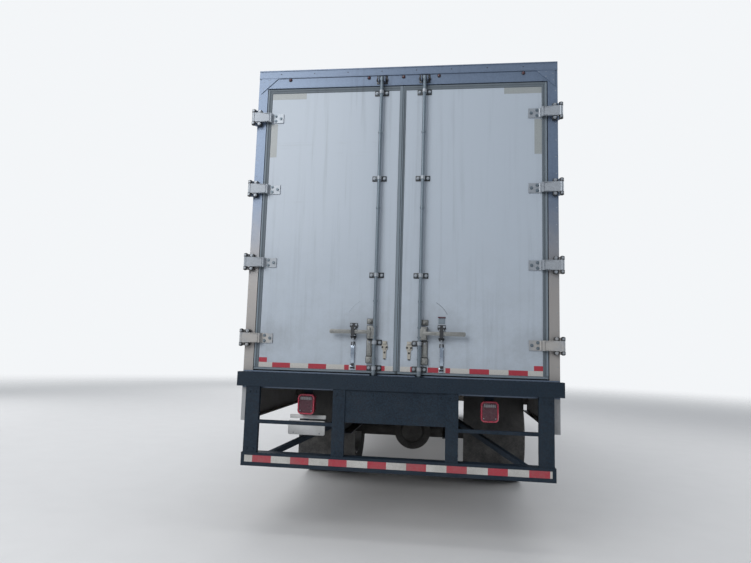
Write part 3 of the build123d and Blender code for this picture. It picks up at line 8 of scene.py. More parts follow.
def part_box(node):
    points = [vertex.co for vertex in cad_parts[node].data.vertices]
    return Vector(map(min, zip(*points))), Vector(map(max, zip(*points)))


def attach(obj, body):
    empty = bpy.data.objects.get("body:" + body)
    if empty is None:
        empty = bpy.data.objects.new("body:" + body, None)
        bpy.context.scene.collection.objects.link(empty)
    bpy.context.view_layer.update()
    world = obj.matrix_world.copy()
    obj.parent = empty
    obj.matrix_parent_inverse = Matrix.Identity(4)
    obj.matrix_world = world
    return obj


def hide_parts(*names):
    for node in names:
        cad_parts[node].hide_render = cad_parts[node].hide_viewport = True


bl_info = {
    "name": "Box Truck",
    "version": (1, 0, 0),
    "blender": (4, 5, 0),
    "location": "View3D > Sidebar > Box Truck",
    "description": "Dresses a packed box truck with materials, trim, lamps, tyres and lock gear",
    "category": "Object",
}

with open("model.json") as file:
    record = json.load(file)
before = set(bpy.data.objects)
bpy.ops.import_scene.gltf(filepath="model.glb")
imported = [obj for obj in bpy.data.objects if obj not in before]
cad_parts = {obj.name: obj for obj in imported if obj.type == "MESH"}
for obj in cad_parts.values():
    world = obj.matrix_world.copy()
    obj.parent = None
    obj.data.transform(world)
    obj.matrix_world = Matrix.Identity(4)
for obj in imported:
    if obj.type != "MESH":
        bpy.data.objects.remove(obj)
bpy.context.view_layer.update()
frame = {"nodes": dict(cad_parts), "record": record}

# Places read from the frame: the rear face, the load floor, the roof, the side walls and the wheels
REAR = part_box("rear_door_left")[0][1]
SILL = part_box("box_floor")[1][2]
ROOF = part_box("box_roof")[1][2]
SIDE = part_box("box_sides")[1][0]
BODY_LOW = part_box("box_sides")[0][2]
BODY_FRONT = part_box("box_roof")[1][1]
CAB_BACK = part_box("cab_shell")[0][1]
SIDES = (("left", -1), ("right", 1))
BACKWARD, FORWARD = (0, -1, 0), (0, 1, 0)

# Sizes of the CAD model that more than one piece is set out from
BOTTOM_RAIL, TOP_RAIL = 0.156, 0.126  # heights of the rails along the van body's sides
HINGES = [0.256 + (ROOF - SILL - 0.425 - 0.256) / 3 * index for index in range(4)]  # heights above the load floor
PIN_X, PIN_OUT = 1.235, 0.045  # hinge pins, from the middle and out from the doors
ROD_X, ROD_OUT = 0.174, 0.034  # lock rods, from the middle and out from the doors
RAIL_SIDE = 0.432  # outer face of the chassis rails
USUAL_DIRT = 0.6  # the dirt for which the materials' amounts of dust are set


# Settings -----------------------------------------------------------------------------------------


def length(name, description, default):
    return bpy.props.FloatProperty(name=name, description=description, default=default, min=0.0, unit="LENGTH")


def colour(name, description, default):
    return bpy.props.FloatVectorProperty(
        name=name, description=description, default=default, size=3, min=0.0, max=1.0, subtype="COLOR"
    )


def share(name, description, default):
    return bpy.props.FloatProperty(
        name=name, description=description, default=default, min=0.0, max=1.0, subtype="FACTOR"
    )


class TruckColours(bpy.types.PropertyGroup):
    """Colours and dirt of the truck's finishes."""

    door: colour("Doors", "Rear door skins", (0.455, 0.515, 0.585))
    panel: colour("Panels", "Side and front panels of the van body", (0.60, 0.635, 0.67))
    cab: colour("Cab", "Cab, hood and bumper paint", (0.60, 0.62, 0.64))
    galvanised: colour("Galvanised", "Rear posts, header and body rails", (0.150, 0.200, 0.285))
    zinc: colour("Zinc", "Hinges and their straps", (0.330, 0.360, 0.395))
    black: colour("Black", "Guard and chassis paint", (0.005, 0.012, 0.023))
    dust: colour("Dust", "Road dust on black parts and low panels", (0.17, 0.165, 0.155))
    rust: colour("Rust", "Stain round old steel", (0.27, 0.12, 0.05))
    # Warm grey of the lower rear posts: a painted reflection of the ground
    post_ground_reflection: colour("Ground reflection", "Lower half of the rear posts", (0.37, 0.345, 0.32))
    seal: colour("Seals", "Rubber seals of the rear doors", (0.120, 0.148, 0.172))
    tape_red: colour("Red tape", "Red blocks of the reflective tape", (0.42, 0.028, 0.05))
    tape_white: colour("White tape", "White blocks of the reflective tape", (0.56, 0.55, 0.52))
    # The corner marks are white tape, painted a darker grey-beige as painted shade
    tape_beige: colour("Shaded white tape", "Corner marks on the rear doors", (0.335, 0.36, 0.36))
    lens: colour("Red lens", "Tail and marker lamps", (0.48, 0.012, 0.035))
    dirt: share("Dirt", "How much road dust lies on the truck", USUAL_DIRT)


class TruckSizes(bpy.types.PropertyGroup):
    """Sizes of the pieces that dress the truck."""

    tape_height: length("Door tape height", "Reflective tape along the bottom of the doors", 0.038)
    guard_tape_height: length("Guard tape height", "Reflective tape on the underride guard", 0.05)
    tape_thickness: length("Tape thickness", "How far tape stands off its surface", 0.0005)
    bolt_radius: length("Bolt radius", "Hexagon bolts of hinges and guides", 0.0085)
    rivet_radius: length("Rivet radius", "Rivets of the van body", 0.006)
    rivet_pitch: length("Rivet pitch", "Distance between rivets along a rail", 0.125)
    rod_radius: length("Lock rod radius", "Vertical rods of the rear doors", 0.0135)
    tread_depth: length("Tread depth", "Depth of the grooves between tread blocks", 0.013)
    seal_bulge: length("Seal bulge", "How far the door seals stand out", 0.004)


# Mesh helpers -------------------------------------------------------------------------------------


def meshes(count):
    """Several empty meshes."""
    return [bmesh.new() for _ in range(count)]


def evenly(first, last, count):
    """Places from the first to the last, evenly spaced."""
    return [first + (last - first) * index / (count - 1) for index in range(count)]


def rectangle(left, right, bottom, top):
    """Corners of a rectangle, in order round it."""
    return [(left, bottom), (right, bottom), (right, top), (left, top)]


def of_verts(verts, kind):
    """Edges or faces that touch the given vertices."""
    return list({item for vert in verts for item in getattr(vert, kind)})


def block(bm, low, high, bevel=0.0, segments=1):
    """A box between two corners, with its edges bevelled."""
    low, high = Vector(low), Vector(high)
    size = [abs(b - a) for a, b in zip(low, high)]
    place = Matrix.Translation((low + high) / 2) @ Matrix.Diagonal((*size, 1.0))
    verts = bmesh.ops.create_cube(bm, size=1.0, matrix=place)["verts"]
    if bevel:
        round_edges(bm, of_verts(verts, "link_edges"), bevel, segments)


def round_edges(bm, edges, width, segments):
    bmesh.ops.bevel(
        bm, geom=edges, offset=width, segments=segments, affect="EDGES", profile=0.5, material=-1, clamp_overlap=True
    )


def rod(bm, start, end, radius, end_radius=None, sides=16):
    """A round bar from start to end; a second radius tapers it."""
    start, end = Vector(start), Vector(end)
    axis = end - start
    place = Matrix.Translation((start + end) / 2) @ axis.to_track_quat("Z", "Y").to_matrix().to_4x4()
    far = radius if end_radius is None else end_radius
    bmesh.ops.create_cone(
        bm, cap_ends=True, segments=sides, radius1=radius, radius2=far, depth=axis.length, matrix=place
    )


def bolt(bm, place, facing, radius, sides=6):
    """A bolt head on its washer, standing on a surface that faces the given way."""
    place, facing = Vector(place), Vector(facing).normalized()
    rod(bm, place, place + facing * radius * 0.3, radius * 1.5, sides=12)
    rod(bm, place + facing * radius * 0.3, place + facing * radius * 1.0, radius, radius * 0.92, sides)


def rivet(bm, place, facing, radius):
    """A low domed rivet head on a surface that faces the given way."""
    place, facing = Vector(place), Vector(facing).normalized()
    rod(bm, place, place + facing * radius * 0.45, radius, radius * 0.55, 8)


def plate(bm, points, depth, bevel=0.0, segments=1):
    """A flat plate: the face through the points, drawn out by the vector depth."""
    verts = [bm.verts.new(point) for point in points]
    face = bm.faces.new(verts)
    made = bmesh.ops.extrude_face_region(bm, geom=[face], use_keep_orig=True)
    moved = [item for item in made["geom"] if isinstance(item, bmesh.types.BMVert)]
    bmesh.ops.translate(bm, verts=moved, vec=depth)
    verts += moved
    if bevel:
        round_edges(bm, of_verts(verts, "link_edges"), bevel, segments)


def spun(bm, profile, centre, axis, steps, closed=False):
    """A turned shape: (radius, distance along the axis) pairs spun all the way round."""
    centre, axis = Vector(centre), Vector(axis).normalized()
    side = Vector((0, 0, 1)) if abs(axis.z) < 0.5 else Vector((1, 0, 0))
    verts = [bm.verts.new(centre + side * radius + axis * along) for radius, along in profile]
    pairs = list(zip(verts, verts[1:])) + ([(verts[-1], verts[0])] if closed else [])
    edges = [bm.edges.new(pair) for pair in pairs]
    before = set(bm.verts) - set(verts)
    bmesh.ops.spin(
        bm, geom=verts + edges, cent=centre, axis=axis, angle=math.tau, steps=steps, use_merge=True,
        use_duplicate=False,
    )
    made = [vert for vert in bm.verts if vert not in before]
    bmesh.ops.remove_doubles(bm, verts=made, dist=1e-5)


def moulding(bm, sections):
    """A closed frame: the first section drawn on to each of the others and back to the first."""
    verts = [bm.verts.new(point) for point in sections[0]]
    edges = [bm.edges.new(pair) for pair in zip(verts, verts[1:] + verts[:1])]
    made = set(verts)
    for section in sections[1:] + sections[:1]:
        grown = bmesh.ops.extrude_edge_only(bm, edges=edges)["geom"]
        fresh = [item for item in grown if isinstance(item, bmesh.types.BMVert)]
        verts = [min(fresh, key=lambda new: (new.co - old.co).length) for old in verts]
        edges = [item for item in grown if isinstance(item, bmesh.types.BMEdge)]
        for vert, point in zip(verts, section):
            vert.co = point
        made.update(verts)
    bmesh.ops.remove_doubles(bm, verts=list(made), dist=1e-5)


def ring(bm, loops):
    """A closed frame whose outlines are the given loops, one inside or above the next."""
    moulding(bm, [list(section) for section in zip(*loops)])


def rounded(points, radius, steps=5):
    """The closed outline through the points, with its corners rounded."""
    points = [Vector(point) for point in points]
    path = []
    for before, corner, after in zip(points[-1:] + points[:-1], points, points[1:] + points[:1]):
        back, ahead = (before - corner).normalized(), (after - corner).normalized()
        half = back.angle(ahead) / 2
        reach = radius / math.tan(half)
        middle = corner + (back + ahead).normalized() * (radius / math.sin(half))
        start, end = (corner + way * reach - middle for way in (back, ahead))
        path += [middle + start.slerp(end, step / steps, start) * radius for step in range(steps + 1)]
    return path


def tube(bm, path, radius, closed=False, sides=8):
    """A bent round bar along the path."""
    curve = bpy.data.curves.new("path", "CURVE")
    curve.dimensions = "3D"
    curve.bevel_depth = radius
    curve.bevel_resolution = max(0, sides // 2 - 2)
    curve.use_fill_caps = not closed
    line = curve.splines.new("POLY")
    line.points.add(len(path) - 1)
    for point, place in zip(line.points, path):
        point.co = (*place, 1.0)
    line.use_cyclic_u = closed
    carrier = bpy.data.objects.new("path", curve)
    mesh = bpy.data.meshes.new_from_object(carrier)
    bm.from_mesh(mesh)
    bpy.data.meshes.remove(mesh)
    bpy.data.objects.remove(carrier)
    bpy.data.curves.remove(curve)


def finish_piece(name, bm, material, body, replaces=(), sharp=35.0):
    """Makes the mesh an object that rides on its body."""
    bmesh.ops.recalc_face_normals(bm, faces=bm.faces)
    mesh = bpy.data.meshes.new(name)
    bm.to_mesh(mesh)
    bm.free()
    mesh.materials.append(bpy.data.materials[material])
    mesh.shade_smooth()
    mesh.set_sharp_from_angle(angle=math.radians(sharp))
    piece = bpy.data.objects.new(name, mesh)
    bpy.context.scene.collection.objects.link(piece)
    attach(piece, body)
    if replaces:
        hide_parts(*replaces)
    return piece


def span(s, low, high):
    """Limits on the side s, the lower one first."""
    return sorted((s * low, s * high))


def side_block(bm, s, across, along, up, bevel=0.0, segments=1):
    """A box on the side s, with its limits outward, forward and up."""
    block(bm, (s * across[0], along[0], up[0]), (s * across[1], along[1], up[1]), bevel, segments)


def on_rear(x, out, up):
    """A place behind the rear face: across, out from the doors, and up from the load floor."""
    return Vector((x, REAR - out, SILL + up))


def rear_block(bm, across, out, up, bevel=0.0, segments=1):
    """A box on the rear face, each limit as in on_rear."""
    block(bm, on_rear(min(across), max(out), min(up)), on_rear(max(across), min(out), max(up)), bevel, segments)


def rear_boss(bm, x, out, up, radius, end_radius, sides):
    """A round boss that stands off the rear face between the two distances in out."""
    rod(bm, on_rear(x, out[0], up), on_rear(x, out[1], up), radius, end_radius, sides)


def rear_bolt(bm, x, out, up, radius):
    """A bolt head that faces backward, with its place as in on_rear."""
    bolt(bm, on_rear(x, out, up), BACKWARD, radius)


def rear_rivet(bm, x, out, up, radius):
    """A rivet head that faces backward, with its place as in on_rear."""
    rivet(bm, on_rear(x, out, up), BACKWARD, radius)


# Shader helpers -----------------------------------------------------------------------------------


def add_node(tree, kind, inputs=None, **settings):
    """A shader node with its settings, and its sockets set or linked."""
    node = tree.nodes.new("ShaderNode" + kind)
    for key, value in settings.items():
        setattr(node, key, value)
    for key, value in (inputs or {}).items():
        if isinstance(value, bpy.types.NodeSocket):
            tree.links.new(value, node.inputs[key])
        else:
            node.inputs[key].default_value = value
    return node


def new_group(name, inputs, outputs):
    """An empty node group with float inputs and their defaults; returns its tree and input sockets."""
    tree = bpy.data.node_groups.new(name, "ShaderNodeTree")
    for socket, default in inputs.items():
        kind = "NodeSocketVector" if isinstance(default, tuple) else "NodeSocketFloat"
        tree.interface.new_socket(socket, in_out="INPUT", socket_type=kind).default_value = default
    for socket in outputs:
        tree.interface.new_socket(socket, in_out="OUTPUT", socket_type="NodeSocketFloat")
    return tree, tree.nodes.new("NodeGroupInput").outputs


def close_group(tree, **results):
    end = tree.nodes.new("NodeGroupOutput")
    for key, value in results.items():
        tree.links.new(value, end.inputs[key])


def maths(tree, operation, *values, clamp=False):
    node = add_node(tree, "Math", dict(enumerate(values)), operation=operation, use_clamp=clamp)
    return node.outputs[0]


def ramp_between(tree, value, low, high):
    """0 below low, 1 above high, smooth between."""
    node = add_node(
        tree, "MapRange", {0: value, 1: low, 2: high, 3: 0.0, 4: 1.0}, interpolation_type="SMOOTHSTEP", clamp=True
    )
    return node.outputs[0]


def noise(tree, vector, scale, detail=3.0, rough=0.55):
    made = add_node(tree, "TexNoise", {"Vector": vector, "Scale": scale, "Detail": detail, "Roughness": rough})
    return made.outputs[0]


def here(tree):
    """Object coordinates."""
    return add_node(tree, "TexCoord").outputs["Object"]


def stretched(tree, scale):
    """Object coordinates scaled by a vector, for patterns that run one way."""
    return add_node(tree, "Mapping", {"Vector": here(tree), "Scale": scale}).outputs[0]


def shade(colour, factor, lift=0.0):
    """The colour made darker or lighter, and then lifted towards white."""
    return [min(1.0, part * factor + lift) for part in colour]


def build_groups():
    """The effects that several materials share."""
    tree, given = new_group("Road dust", {"Amount": 0.5, "Low": 0.4, "High": 1.4, "Scale": 6.0}, ["Mask"])
    place = here(tree)
    height = add_node(tree, "SeparateXYZ", {0: place}).outputs["Z"]
    fall = maths(tree, "SUBTRACT", 1.0, ramp_between(tree, height, given["Low"], given["High"]))
    cloud = ramp_between(tree, noise(tree, place, given["Scale"], 6.0, 0.62), 0.30, 0.72)
    speck = ramp_between(tree, noise(tree, place, 140.0, 2.0), 0.42, 0.62)
    mixed = maths(tree, "MULTIPLY_ADD", cloud, 0.75, maths(tree, "MULTIPLY", speck, 0.25))
    mask = maths(tree, "MULTIPLY", maths(tree, "MULTIPLY", fall, mixed), given["Amount"], clamp=True)
    close_group(tree, Mask=mask)

    tree, given = new_group("Rain streaks", {"Amount": 0.3, "Scale": 30.0}, ["Mask"])
    fine = noise(tree, stretched(tree, (1.0, 1.0, 0.035)), given["Scale"], 4.0, 0.6)
    broad = noise(tree, stretched(tree, (1.0, 1.0, 0.2)), 3.0, 2.0)
    runs = maths(tree, "MULTIPLY", ramp_between(tree, fine, 0.48, 0.75), ramp_between(tree, broad, 0.35, 0.7))
    close_group(tree, Mask=maths(tree, "MULTIPLY", runs, given["Amount"], clamp=True))

    tree, given = new_group("Fine grain", {"Scale": 400.0, "Contrast": 1.0}, ["Value", "Height"])
    grain = noise(tree, here(tree), given["Scale"], 3.0, 0.65)
    value = maths(tree, "MULTIPLY_ADD", maths(tree, "SUBTRACT", grain, 0.5), given["Contrast"], 0.5)
    close_group(tree, Value=value, Height=grain)

    tree, given = new_group("Paint wear", {"Amount": 0.5, "Scale": 14.0}, ["Mask"])
    patches = noise(tree, here(tree), given["Scale"], 8.0, 0.7)
    edge = maths(tree, "SUBTRACT", 0.80, maths(tree, "MULTIPLY", given["Amount"], 0.28))
    close_group(tree, Mask=ramp_between(tree, patches, edge, maths(tree, "ADD", edge, 0.05)))

    tree, given = new_group("Zinc spangle", {"Scale": 90.0, "Contrast": 0.3}, ["Value", "Height"])
    cells = add_node(tree, "TexVoronoi", {"Vector": here(tree), "Scale": given["Scale"]}, feature="F1")
    tone = add_node(tree, "SeparateColor", {0: cells.outputs["Color"]}).outputs[0]
    value = maths(tree, "MULTIPLY_ADD", maths(tree, "SUBTRACT", tone, 0.5), given["Contrast"], 0.5)
    close_group(tree, Value=value, Height=tone)

    tree, given = new_group("Scratches", {"Amount": 0.3, "Along": (1.0, 1.0, 60.0)}, ["Mask"])
    place = here(tree)
    lines = add_node(tree, "VectorMath", {0: place, 1: given["Along"]}, operation="MULTIPLY").outputs[0]
    fine = noise(tree, lines, 9.0, 3.0, 0.7)
    where = ramp_between(tree, noise(tree, place, 5.0, 3.0), 0.5, 0.68)
    marks = maths(tree, "MULTIPLY", ramp_between(tree, fine, 0.62, 0.70), where)
    close_group(tree, Mask=maths(tree, "MULTIPLY", marks, given["Amount"]))

    # A soft round patch about a centre: a real stain on the doors, painted light on the hinges
    tree, given = new_group("Stain", {"Centre": (0.0, 0.0, 0.0), "Size": (0.1, 0.1, 0.1)}, ["Mask"])
    place = here(tree)
    away = add_node(tree, "VectorMath", {0: place, 1: given["Centre"]}, operation="SUBTRACT").outputs[0]
    scaled = add_node(tree, "VectorMath", {0: away, 1: given["Size"]}, operation="DIVIDE").outputs[0]
    far = add_node(tree, "VectorMath", {0: scaled}, operation="LENGTH").outputs["Value"]
    ragged = maths(tree, "MULTIPLY_ADD", noise(tree, place, 25.0, 5.0), 0.9, maths(tree, "SUBTRACT", far, 0.45))
    close_group(tree, Mask=maths(tree, "SUBTRACT", 1.0, ramp_between(tree, ragged, 0.3, 1.0)))

    tree, given = new_group("Level band", {"Low": 0.0, "High": 1.0}, ["Mask"])
    height = add_node(tree, "SeparateXYZ", {0: here(tree)}).outputs["Z"]
    above = maths(tree, "GREATER_THAN", height, given["Low"])
    below = maths(tree, "LESS_THAN", height, given["High"])
    close_group(tree, Mask=maths(tree, "MULTIPLY", above, below))

    tree, given = new_group("Boards", {"Width": 0.1, "Gap": 0.02}, ["Tone", "Height"])
    across = maths(tree, "DIVIDE", add_node(tree, "SeparateXYZ", {0: here(tree)}).outputs["X"], given["Width"])
    board = maths(tree, "FLOOR", across)
    inside = maths(tree, "FRACT", across)
    edge = maths(tree, "MINIMUM", inside, maths(tree, "SUBTRACT", 1.0, inside))
    joint = ramp_between(tree, edge, 0.0, given["Gap"])
    tone = add_node(tree, "TexWhiteNoise", {1: board}, noise_dimensions="1D").outputs[0]
    close_group(tree, Tone=tone, Height=joint)

    tree, given = new_group("Bead pattern", {"Scale": 260.0}, ["Value"])
    inputs = {"Vector": here(tree), "Scale": given["Scale"]}
    away = add_node(tree, "TexVoronoi", inputs, feature="DISTANCE_TO_EDGE").outputs["Distance"]
    close_group(tree, Value=ramp_between(tree, away, 0.02, 0.12))


def use_group(tree, name, output=None, **inputs):
    """A shared effect placed in a material with its own values; returns one of its outputs."""
    return add_node(tree, "Group", inputs, node_tree=bpy.data.node_groups[name]).outputs[output or 0]


def tint(tree, mask, base, over):
    """Base colour with another laid over it where the mask says."""
    inputs = {0: mask}
    for index, value in ((6, base), (7, over)):
        inputs[index] = value if isinstance(value, bpy.types.NodeSocket) else (*value, 1.0)
    return add_node(tree, "Mix", inputs, data_type="RGBA", blend_type="MIX").outputs[2]


def new_material(name, **sockets):
    """A material with its Principled shader; returns the tree and the shader."""
    made = bpy.data.materials.get(name) or bpy.data.materials.new(name)
    made.use_nodes = True
    tree = made.node_tree
    tree.nodes.clear()
    shader = add_node(tree, "BsdfPrincipled")
    add_node(tree, "OutputMaterial", {"Surface": shader.outputs[0]})
    for key, value in sockets.items():
        shader.inputs[key.replace("_", " ")].default_value = value
    return tree, shader


def bump(tree, shader, height, distance, strength=1.0):
    inputs = {"Height": height, "Distance": distance, "Strength": strength}
    tree.links.new(add_node(tree, "Bump", inputs).outputs[0], shader.inputs["Normal"])


def coated(
    name, base, rough, metal=0.0, coat=0.0, dust=None, streaks=0.0, wear=None, grain=None, spangle=None,
    scratches=None,
):
    """Painted, plated or moulded surface with dust, streaks, wear, scratches and grain."""
    settings = bpy.context.scene.truck_colours
    tree, shader = new_material(name, Metallic=metal, Coat_Roughness=0.2, Coat_Weight=coat)
    colour_now, rough_now = base, rough
    if spangle:
        scale, contrast = spangle
        tone = use_group(tree, "Zinc spangle", "Value", Scale=scale, Contrast=contrast)
        colour_now = tint(tree, tone, shade(base, 0.55), shade(base, 1.4))
        rough_now = maths(tree, "MULTIPLY_ADD", tone, 0.25, rough - 0.12)
    if grain:
        scale, contrast, distance = grain
        tone = use_group(tree, "Fine grain", "Value", Scale=scale, Contrast=contrast)
        darker = tint(tree, 0.35, colour_now, shade(base, 0.5))
        colour_now = tint(tree, tone, darker, colour_now)
        bump(tree, shader, use_group(tree, "Fine grain", "Height", Scale=scale), distance)
    if scratches:
        amount, along, line = scratches
        mask = use_group(tree, "Scratches", Amount=amount, Along=along)
        colour_now = tint(tree, mask, colour_now, line)
    if streaks:
        mask = use_group(tree, "Rain streaks", Amount=streaks)
        colour_now = tint(tree, mask, colour_now, shade(base, 0.45))
    if wear:
        amount, under = wear
        mask = use_group(tree, "Paint wear", Amount=amount)
        colour_now = tint(tree, mask, colour_now, under)
    if dust:
        amount, low, high = dust
        mask = use_group(tree, "Road dust", Amount=amount * settings.dirt / USUAL_DIRT, Low=low, High=high)
        colour_now = tint(tree, mask, colour_now, settings.dust)
        rough_now = maths(tree, "MULTIPLY_ADD", mask, 0.5, rough_now, clamp=True)
        tree.links.new(maths(tree, "MULTIPLY", maths(tree, "SUBTRACT", 1.0, mask), metal), shader.inputs["Metallic"])
    if isinstance(colour_now, bpy.types.NodeSocket):
        tree.links.new(colour_now, shader.inputs["Base Color"])
    if isinstance(rough_now, bpy.types.NodeSocket):
        tree.links.new(rough_now, shader.inputs["Roughness"])
    else:
        shader.inputs["Roughness"].default_value = rough_now
    return tree, shader, colour_now


def glass_material(name, base, alpha, rough=0.04):
    """Clear glazing: gloss over a thin tint that lets the inside show."""
    tree, shader = new_material(name, Roughness=rough, Alpha=alpha, IOR=1.45)
    smear = use_group(tree, "Rain streaks", Amount=0.35, Scale=12.0)
    tree.links.new(tint(tree, smear, base, shade(base, 0.8, 0.09)), shader.inputs["Base Color"])
    tree.links.new(maths(tree, "MULTIPLY_ADD", smear, 0.2, rough), shader.inputs["Roughness"])


def lens_material(name, base, film=0.10):
    """Moulded lamp lens with a bead pattern inside."""
    tree, shader = new_material(name, Roughness=0.12, Coat_Weight=0.6)
    beads = use_group(tree, "Bead pattern", Scale=120.0)
    dull = use_group(tree, "Road dust", Amount=film, Low=0.2, High=4.5)
    deep = tint(tree, beads, shade(base, 0.45), base)
    tree.links.new(tint(tree, dull, deep, (0.3, 0.27, 0.25)), shader.inputs["Base Color"])
    bump(tree, shader, beads, 0.0006, 0.6)


def tape_material(name, base):
    """Reflective sheeting: cells under a clear film, scuffed by road dust."""
    tree, shader = new_material(name, Roughness=0.35)
    cells = use_group(tree, "Bead pattern", Scale=420.0)
    grime = use_group(tree, "Road dust", Amount=0.45, Low=0.5, High=1.6)
    wear = use_group(tree, "Paint wear", Amount=0.25, Scale=30.0)
    pattern = tint(tree, cells, shade(base, 0.72), base)
    dirty = tint(tree, grime, pattern, (0.19, 0.175, 0.16))
    tree.links.new(tint(tree, wear, dirty, shade(base, 0.5, 0.02)), shader.inputs["Base Color"])


def build_materials():
    """Every finish on the truck, named for the record's slots or for its own trim."""
    build_groups()
    paint = bpy.context.scene.truck_colours
    dark_iron, steel = (0.05, 0.047, 0.044), (0.32, 0.31, 0.30)
    grey_line = (0.24, 0.25, 0.26)
    upright, level = (1.0, 1.0, 0.02), (0.03, 1.0, 1.0)

    coated(
        "chassis_black", paint.black, 0.5, dust=(0.75, 0.3, 1.5), wear=(0.22, dark_iron), grain=(300.0, 0.8, 0.0006),
    )
    coated("cast_black", dark_iron, 0.62, dust=(0.9, 0.2, 1.3), wear=(0.3, paint.rust), grain=(160.0, 1.2, 0.0014))
    coated("plastic_dark", (0.035, 0.036, 0.038), 0.55, dust=(0.5, 0.2, 2.0), grain=(520.0, 0.8, 0.0004))
    coated("exhaust_steel", (0.24, 0.21, 0.18), 0.45, 0.8, dust=(0.7, 0.3, 1.2), wear=(0.35, paint.rust))
    coated("tank_metal", (0.55, 0.56, 0.57), 0.26, 0.9, dust=(0.6, 0.3, 1.1), scratches=(0.4, level, grey_line))
    coated("tread_metal", (0.40, 0.41, 0.42), 0.4, 0.8, dust=(0.6, 0.4, 1.6), scratches=(0.5, level, grey_line))
    coated("roof_metal", (0.42, 0.44, 0.46), 0.52, 0.3, streaks=0.2, dust=(0.2, 5.0, 9.0), grain=(60.0, 0.6, 0.0006))
    tree, shader, now = coated(
        "guard_black", paint.black, 0.55, dust=(0.10, 0.35, 1.9), wear=(0.10, steel), grain=(130.0, 2.6, 0.0018),
        scratches=(0.35, level, (0.08, 0.09, 0.10)),
    )
    shader.inputs["Specular IOR Level"].default_value = 0.25
    speck = use_group(tree, "Fine grain", "Value", Scale=95.0, Contrast=3.5)
    now = tint(tree, maths(tree, "MULTIPLY", speck, 0.5), now, (0.016, 0.038, 0.062))
    tree.links.new(now, shader.inputs["Base Color"])
    coated("flap_rubber", (0.022, 0.022, 0.023), 0.7, dust=(0.9, 0.2, 1.2), grain=(260.0, 0.9, 0.0006))
    coated("grille_dark", (0.02, 0.02, 0.022), 0.35, dust=(0.4, 0.5, 2.0), grain=(500.0, 0.6, 0.0003))
    tree, shader, now = coated(
        "hardware", paint.zinc, 0.42, 0.4, spangle=(220.0, 0.3), dust=(0.3, 1.1, 3.2),
        wear=(0.12, (0.20, 0.15, 0.10)), scratches=(0.4, upright, grey_line),
    )
    # A pale warm patch on the lowest hinges: painted light where they catch the sun
    for s in (-1, 1):
        patch = use_group(tree, "Stain", Centre=(s * 1.13, REAR, SILL + HINGES[0]), Size=(0.20, 0.2, 0.09))
        now = tint(tree, maths(tree, "MULTIPLY", patch, 0.6), now, (0.46, 0.42, 0.37))
    tree.links.new(now, shader.inputs["Base Color"])
    coated(
        "handle_zinc", (0.25, 0.255, 0.245), 0.45, 0.3, spangle=(300.0, 0.6), wear=(0.3, (0.10, 0.10, 0.09)),
        grain=(260.0, 0.8, 0.0004),
    )
    coated(
        "lock_zinc", (0.15, 0.19, 0.225), 0.42, 0.4, spangle=(260.0, 0.35), dust=(0.25, 1.1, 3.0),
        scratches=(0.5, upright, (0.42, 0.43, 0.42)), wear=(0.15, (0.17, 0.15, 0.12)),
    )
    coated("wheel_white", (0.60, 0.60, 0.585), 0.36, coat=0.3, dust=(0.95, 0.1, 1.2), wear=(0.12, paint.rust))
    coated("chrome", (0.78, 0.79, 0.80), 0.09, 1.0, dust=(0.3, 0.3, 1.8))
    coated("bright_steel", (0.46, 0.53, 0.62), 0.2, 1.0, wear=(0.25, (0.30, 0.29, 0.27)))
    coated("mirror_glass", (0.80, 0.83, 0.85), 0.03, 1.0, streaks=0.1)
    coated("seal_grey", paint.seal, 0.6, grain=(420.0, 0.9, 0.0004), streaks=0.5)
    coated("seal_pale", shade(paint.seal, 1.55), 0.55, grain=(420.0, 0.9, 0.0004), streaks=0.45)
    coated("seal_black", (0.02, 0.021, 0.023), 0.5, grain=(420.0, 0.8, 0.0004), dust=(0.3, 0.8, 3.0))
    coated("retainer_dark", (0.06, 0.062, 0.065), 0.42, 0.6, grain=(300.0, 0.9, 0.0005), wear=(0.3, steel))
    coated("bracket_beige", (0.42, 0.40, 0.35), 0.5, 0.2, wear=(0.35, (0.16, 0.14, 0.12)), grain=(300.0, 0.7, 0.0004))
    coated("plate_white", (0.66, 0.67, 0.67), 0.4, coat=0.3, dust=(0.5, 0.4, 1.4), grain=(600.0, 0.5, 0.0002))
    coated("cab_white", paint.cab, 0.40, coat=0.2, dust=(0.26, 0.3, 1.5), streaks=0.08, grain=(900.0, 0.25, 0.0001))

    tree, shader, now = coated(
        "door_white", paint.door, 0.42, coat=0.15, streaks=0.34, grain=(620.0, 0.55, 0.0004),
        scratches=(0.2, level, grey_line), dust=(0.24, 1.15, 2.6),
    )
    # Grey stains round the handles and the lowest hinges: across, up, and their size
    for x, z, wide, high in (
        (-0.29, 0.36, 0.26, 0.22), (0.33, 0.36, 0.28, 0.24), (-1.0, 0.27, 0.2, 0.16), (1.0, 0.27, 0.2, 0.16)
    ):
        patch = use_group(tree, "Stain", Centre=(x, REAR, SILL + z), Size=(wide, 0.2, high))
        now = tint(tree, maths(tree, "MULTIPLY", patch, 0.22), now, (0.20, 0.215, 0.23))
    tree.links.new(now, shader.inputs["Base Color"])

    tree, shader, now = coated(
        "panel_white", paint.panel, 0.36, coat=0.25, streaks=0.24, grain=(620.0, 0.4, 0.0003), dust=(0.24, 1.0, 2.4)
    )
